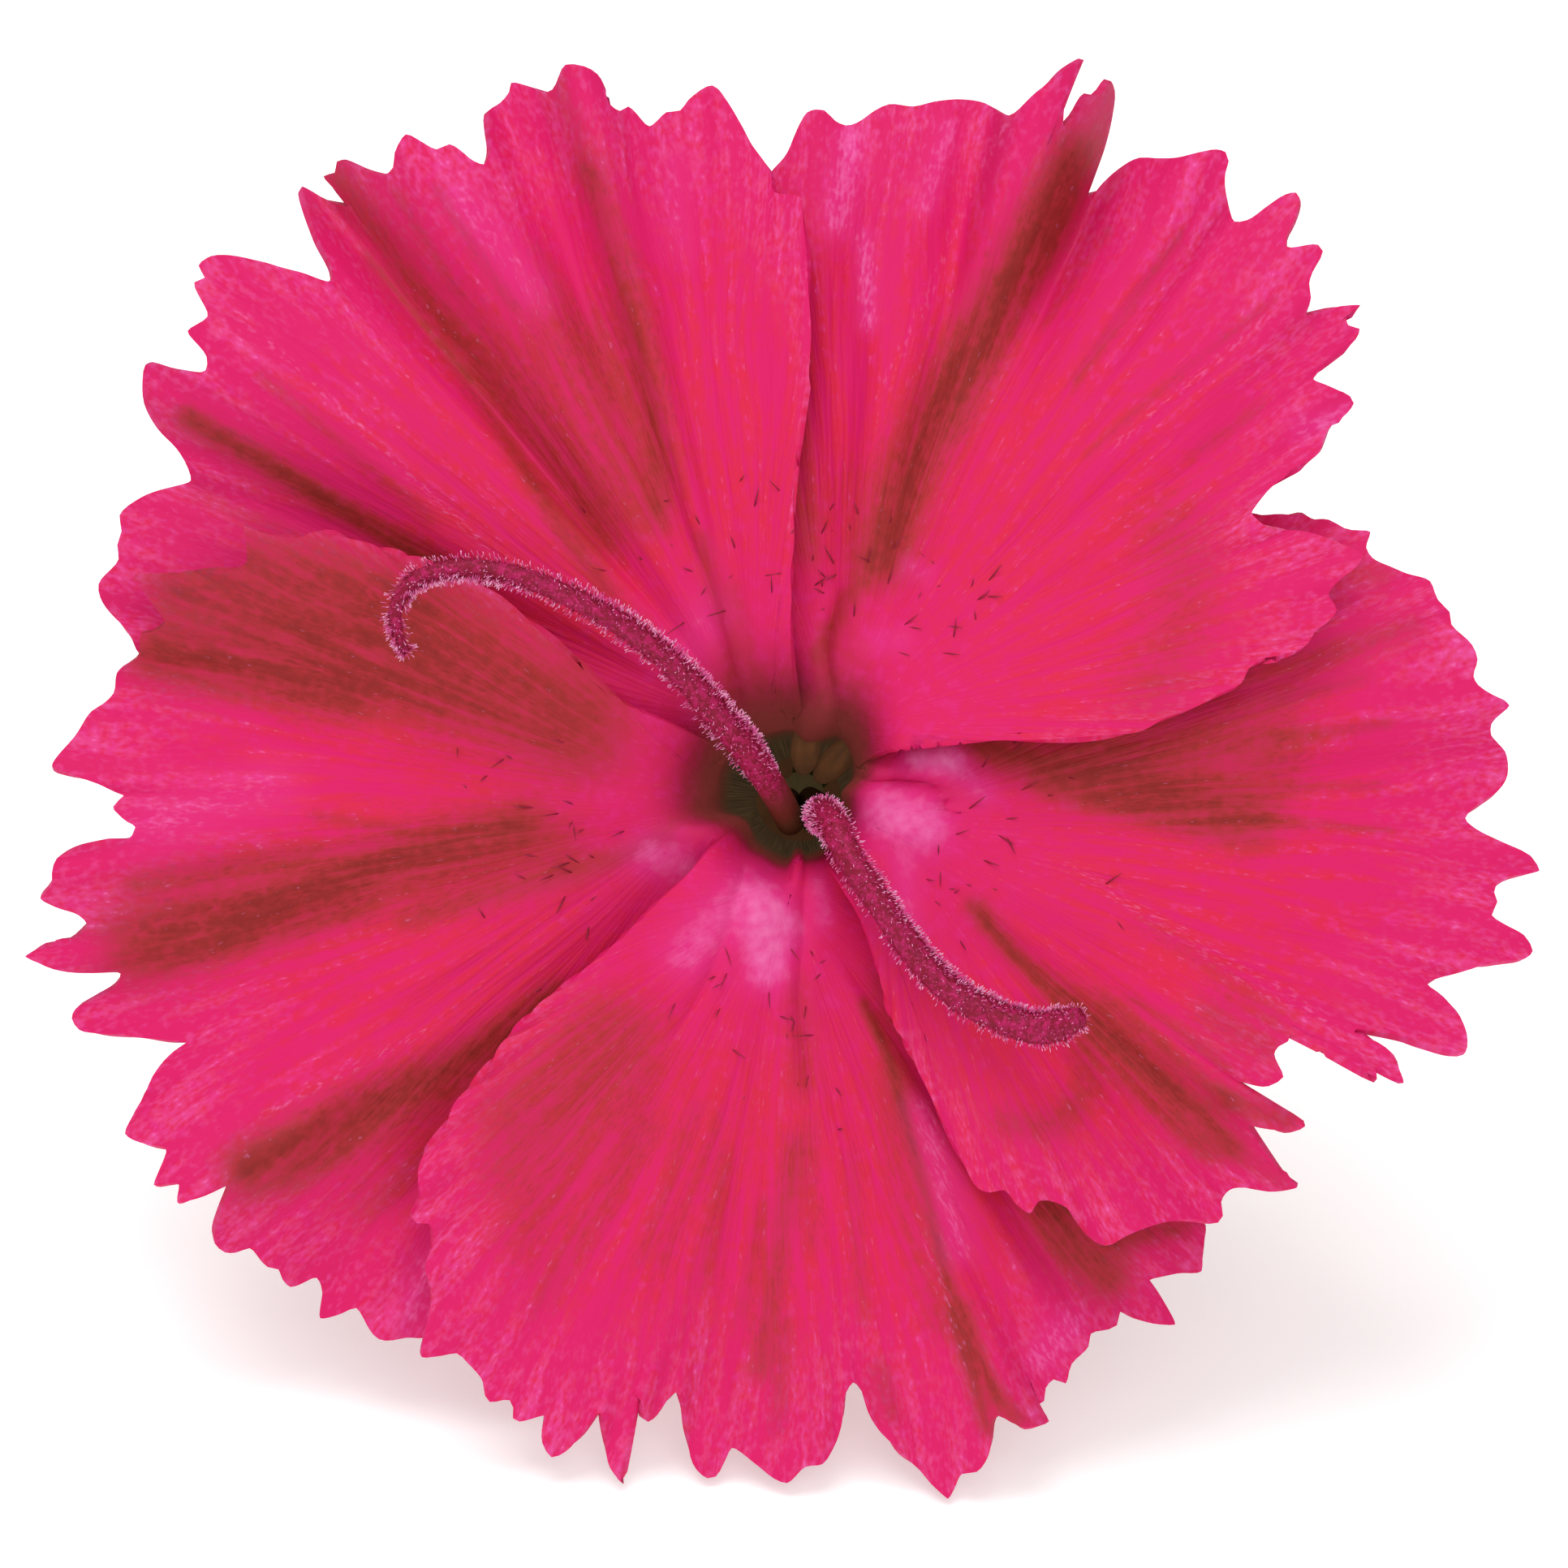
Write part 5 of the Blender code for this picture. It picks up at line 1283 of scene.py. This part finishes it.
def tube_piece(name, path, marks, around=20, step=0.12):
    """A closed round tube along a path. marks: (share of its length, radius)."""
    frames = [np.pad(rows, ((1, 1), (0, 0)), mode="edge")[:, None] for rows in path_frames(path, step)]
    points, _, sides, ups = frames
    share = np.pad(np.linspace(0, 1, len(points) - 2), 1, mode="edge")
    radius = np.interp(share, *zip(*marks))
    # Both ends are drawn together to a point, which closes the tube.
    radius[[0, -1]] = 0.0
    angle = full_turn(around)
    spokes = np.cos(angle)[:, None] * sides + np.sin(angle)[:, None] * ups
    places = points + radius[:, None, None] * spokes
    # How far down into the throat each point lies, for the painted shade there.
    throat_shade = clamped((STYLE_DARK_TOP - places[..., 2]) / STYLE_DARK_DEPTH)
    return grid_piece(name, places, (angle / (2 * np.pi), share[:, None]), {"throat_shade": throat_shade})


def turned_piece(name, profile, around, step, bent=False):
    """A solid of revolution round the flower's axis, from (radius, height) points."""
    outline = spline(profile, step)
    angle = full_turn(around)
    places = round_axis(outline[:, :1], angle, outline[:, 1:])
    if bent:
        share = np.maximum(STEM_BEND_START - places[..., 2:], 0) / (STEM_BEND_START - STEM_CUT_Z)
        places[..., :2] += share**2 * STEM_BEND
    run = np.linspace(0, 1, len(outline))[:, None]
    cut = (places[..., 2] < STEM_CUT_Z + 0.03) * 1.0
    return grid_piece(name, places, (angle / (2 * np.pi), run), {"tip": cut})


def hair_model():
    """A slim blunt hair, one unit long along +Z, for copying."""
    hair = mesh_object(
        "hair", "primitive_cone_add", vertices=4, radius1=1.0, radius2=0.6, depth=1.0, location=(0, 0, 0.5)
    )
    bpy.ops.object.transform_apply()
    paint(hair.data, "tip", [vertex.co.z for vertex in hair.data.vertices])
    return hair


def style_hairs(name, style):
    """Short hairs round a style."""
    draw = random.Random(style["seed"])
    points, ahead, sides, ups = path_frames(style["path"], 0.05)
    first, count, length = style["hairs"]
    shares, *crowding = zip(*style["brush"])
    matrices = []
    while len(matrices) < count:
        share = first + (1 - first) * draw.random()
        at = int(share * (len(points) - 1))
        angle = draw.uniform(0, 2 * math.pi)
        spoke = Vector(sides[at] * math.cos(angle) + ups[at] * math.sin(angle))
        crowd = Vector([np.interp(share, shares, values) for values in crowding])
        # Most hairs stand on the side they crowd to, and fewest on the side that looks up.
        chance = 0.26 + 0.8 * max(0.0, spoke.xy.dot(crowd)) - 0.2 * max(0.0, spoke.z)
        if draw.random() > chance:
            continue
        root = Vector(points[at]) + spoke * (np.interp(share, *zip(*style["radius"])) - HAIR_SINK)
        lean = Vector([draw.gauss(0, 0.3) for _ in range(3)])
        direction = (spoke + lean + Vector(ahead[at]) * 0.3).normalized()
        grown = min(1.0, (share - first) / 0.08 + 0.25)
        tall = length * draw.uniform(*HAIR_TALL) * grown
        matrices.append(hair_at(root, direction, draw.uniform(*HAIR_THICK), tall))
    return scatter(name, hair_model(), matrices)


def make_pistil(tissue, hair, green):
    settle(turned_piece("ovary", OVARY_PROFILE, 32, 0.15), ("pistil",), green)
    for name, style in STYLES.items():
        settle(tube_piece(name, style["path"], style["radius"]), ("pistil",), tissue)
    for name, style in STYLES.items():
        settle(style_hairs(name + "_hairs", style), (), hair)


def make_stamens(filament, anther):
    """Ten thin filaments with two-lobed anthers, each at the height that ANTHER_TOPS gives."""
    for number, top in enumerate(ANTHER_TOPS):
        angle = 2 * math.pi * (number + 0.3) / len(ANTHER_TOPS)
        spoke = Vector((math.cos(angle), math.sin(angle), 0.0))
        stations = (
            (FILAMENT_CIRCLE, FILAMENT_FOOT_Z),
            (FILAMENT_CIRCLE, FILAMENT_MIDDLE_Z),
            (FILAMENT_NECK_CIRCLE, min(FILAMENT_NECK_Z, top - FILAMENT_NECK_DROP)),
            (ANTHER_CIRCLE, top - ANTHER_LENGTH / 2),
        )
        path = [spoke * circle + Vector((0, 0, height)) for circle, height in stations]
        marks = ((0, FILAMENT_RADIUS), (1, FILAMENT_RADIUS))
        thread = tube_piece(f"filament_{number + 1}", path, marks, around=10, step=1.0)
        settle(thread, ("stamens",), filament)
        body = mesh_object(
            f"anther_{number + 1}", "primitive_uv_sphere_add", segments=24, ring_count=16, radius=1.0
        )
        for vertex in body.data.vertices:
            groove = 0.35 * math.exp(-((vertex.co.y / 0.25) ** 2)) * abs(vertex.co.x)
            vertex.co.x *= 1 - groove
            vertex.co *= 1 + 0.1 * vertex.co.z * vertex.co.z
        turn = Matrix.Rotation(angle, 4, "Z") @ Matrix.Rotation(ANTHER_TILT, 4, "Y")
        size = Matrix.Diagonal((ANTHER_RADIUS * 0.85, ANTHER_RADIUS, ANTHER_LENGTH / 2, 1.0))
        body.data.transform(Matrix.Translation(path[-1]) @ turn @ size)
        body.data.shade_smooth()
        settle(body, ("stamens",), anther)


def make_calyx(material):
    """A ribbed green tube that ends in five pointed teeth."""
    row = np.arange(CALYX_ROWS + CALYX_TOOTH_ROWS + 1)[:, None]
    profile = spline(CALYX_PROFILE, 0.2)
    marks = np.linspace(0, 1, len(profile))
    radius, height = (np.interp(row / CALYX_ROWS, marks, profile[:, k]) for k in (0, 1))
    angle = full_turn(AROUND_CALYX)
    across = (CALYX_TEETH * np.arange(AROUND_CALYX + 1) / AROUND_CALYX) % 1.0
    tooth = (1 - np.abs(2 * across - 1)) ** 0.9 * np.maximum(row - CALYX_ROWS, 0) / CALYX_TOOTH_ROWS
    radius = radius + CALYX_TOOTH_FLARE * tooth
    radius += CALYX_RIB_HEIGHT * np.cos(CALYX_RIBS * angle) * clamped((radius - 2.0) / 0.8)
    height = height + CALYX_TOOTH_LENGTH * tooth
    tip = clamped((height - CALYX_PROFILE[-1][1]) / CALYX_TOOTH_LENGTH)
    blade = (angle / (2 * np.pi), row / row[-1])
    obj = grid_piece("calyx_tube", round_axis(radius, angle, height), blade, {"tip": tip})
    thicken(obj, CALYX_WALL)
    settle(obj, ("calyx",), material)


def make_scale_pair(name, node, profile, middle, material):
    """Two opposite scales with long points, joined by a low collar at the calyx's foot."""
    half = AROUND_CALYX // 2
    column = np.arange(AROUND_CALYX + 1)
    across = 2 * ((column % half) / half) - 1
    from_middle = np.sign(across) * np.abs(across) ** 1.8 * 90
    turned = np.where(column % AROUND_CALYX < half, 0, 180)
    angle = np.radians(middle + from_middle + turned)
    length = curve_through(SCALE_OUTLINE, np.abs(from_middle))
    line = spline(profile, 0.1)
    run = np.concatenate([[0], np.cumsum(np.linalg.norm(np.diff(line, axis=0), axis=1))])
    at = (np.arange(SCALE_ROWS + 1)[:, None] / SCALE_ROWS) ** 1.2 * length[None] * run[-1]
    radius = np.interp(at, run, line[:, 0])
    radius += KEEL_HEIGHT * np.exp(-((from_middle / KEEL_ANGLE) ** 2)) * clamped(at / 3)
    places = round_axis(radius, angle, np.interp(at, run, line[:, 1]))
    tip = clamped(at / run[-1] * 1.4 - 0.4)
    obj = grid_piece(name, places, (from_middle / 90, at / run[-1]), {"tip": tip})
    thicken(obj, SCALE_WALL)
    settle(obj, (node,), material)


def make_stem(material):
    settle(turned_piece("stem_and_head", STEM_PROFILE, 40, 0.25, bent=True), ("stem",), material)


def make_floor():
    floor = mesh_object("floor", "primitive_plane_add", size=FLOOR_WIDTH)
    shader = Shader("pale_floor", 0.8, specular=0.1)
    grain = shader.noise(shader.place(1.0), scale=40, detail=2)
    shader.set("Base Color", shader.mix(grain, (0.90, 0.90, 0.90), (0.92, 0.92, 0.92)))
    shader.glow((1.0, 1.0, 1.0), FLOOR_GLOW)
    floor.data.materials.append(shader.material)


def make_camera():
    data = bpy.data.cameras.new("view")
    data.sensor_width = SENSOR
    data.lens = SENSOR * VIEW_DISTANCE / VIEW_WIDTH
    data.clip_start = 0.01
    camera = add_object("view", data)
    camera.matrix_world = FLOWER_POSE @ Matrix.Translation(Vector((*VIEW_CENTRE, VIEW_DISTANCE)) * 0.001)
    bpy.context.scene.camera = camera


def make_light():
    """A white sky, and square lights aimed at the throat."""
    world = bpy.data.worlds.new("soft_daylight")
    world.use_nodes = True
    sky = world.node_tree.nodes["Background"]
    sky.inputs["Color"].default_value = (1, 1, 1, 1)
    sky.inputs["Strength"].default_value = SKY_STRENGTH
    bpy.context.scene.world = world
    bpy.context.scene.view_settings.view_transform = "Standard"
    for name, (where, width, power) in LIGHTS.items():
        data = bpy.data.lights.new(name, "AREA")
        data.shape = "SQUARE"
        data.size = width * 0.001
        data.energy = power
        place = FLOWER_POSE @ (Vector(where) * 0.001)
        aim = (FLOWER_POSE.translation - place).to_track_quat("-Z", "Y")
        add_object(name, data).matrix_world = Matrix.Translation(place) @ aim.to_matrix().to_4x4()


make_camera()
make_light()
make_floor()

petal_tissue = petal_material()
for seed, (petal_name, petal_shape) in enumerate(PETALS.items()):
    make_petal(petal_name, petal_shape, seed, petal_tissue)

make_barbs(barb_material())

ovary_green = plant_material("ovary_green", (0.30, 0.36, 0.10), (0.16, 0.22, 0.05), glow=THROAT_GLOW)
make_pistil(style_material(), hair_material(), ovary_green)
make_stamens(
    plant_material(
        "filament_olive", (0.12, 0.085, 0.035), (0.07, 0.05, 0.02), roughness=0.8, glow=THROAT_GLOW
    ),
    plant_material(
        "anther_olive", (0.15, 0.055, 0.014), (0.05, 0.020, 0.008), roughness=0.9, lines=7, glow=ANTHER_GLOW
    ),
)
make_calyx(
    plant_material("calyx_green", (0.20, 0.33, 0.07), (0.09, 0.19, 0.04), tip=(0.30, 0.16, 0.10), lines=70)
)
scale_green = plant_material(
    "scale_green", (0.17, 0.31, 0.06), (0.08, 0.18, 0.035), tip=(0.28, 0.30, 0.10), lines=30
)
make_scale_pair("scales_outer", "epicalyx_outer_pair", OUTER_SCALE_PROFILE, 95.0, scale_green)
make_scale_pair("scales_inner", "epicalyx_inner_pair", INNER_SCALE_PROFILE, 5.0, scale_green)
make_stem(
    plant_material("stem_green", (0.20, 0.36, 0.09), (0.11, 0.24, 0.05), tip=(0.55, 0.60, 0.34), lines=24)
)
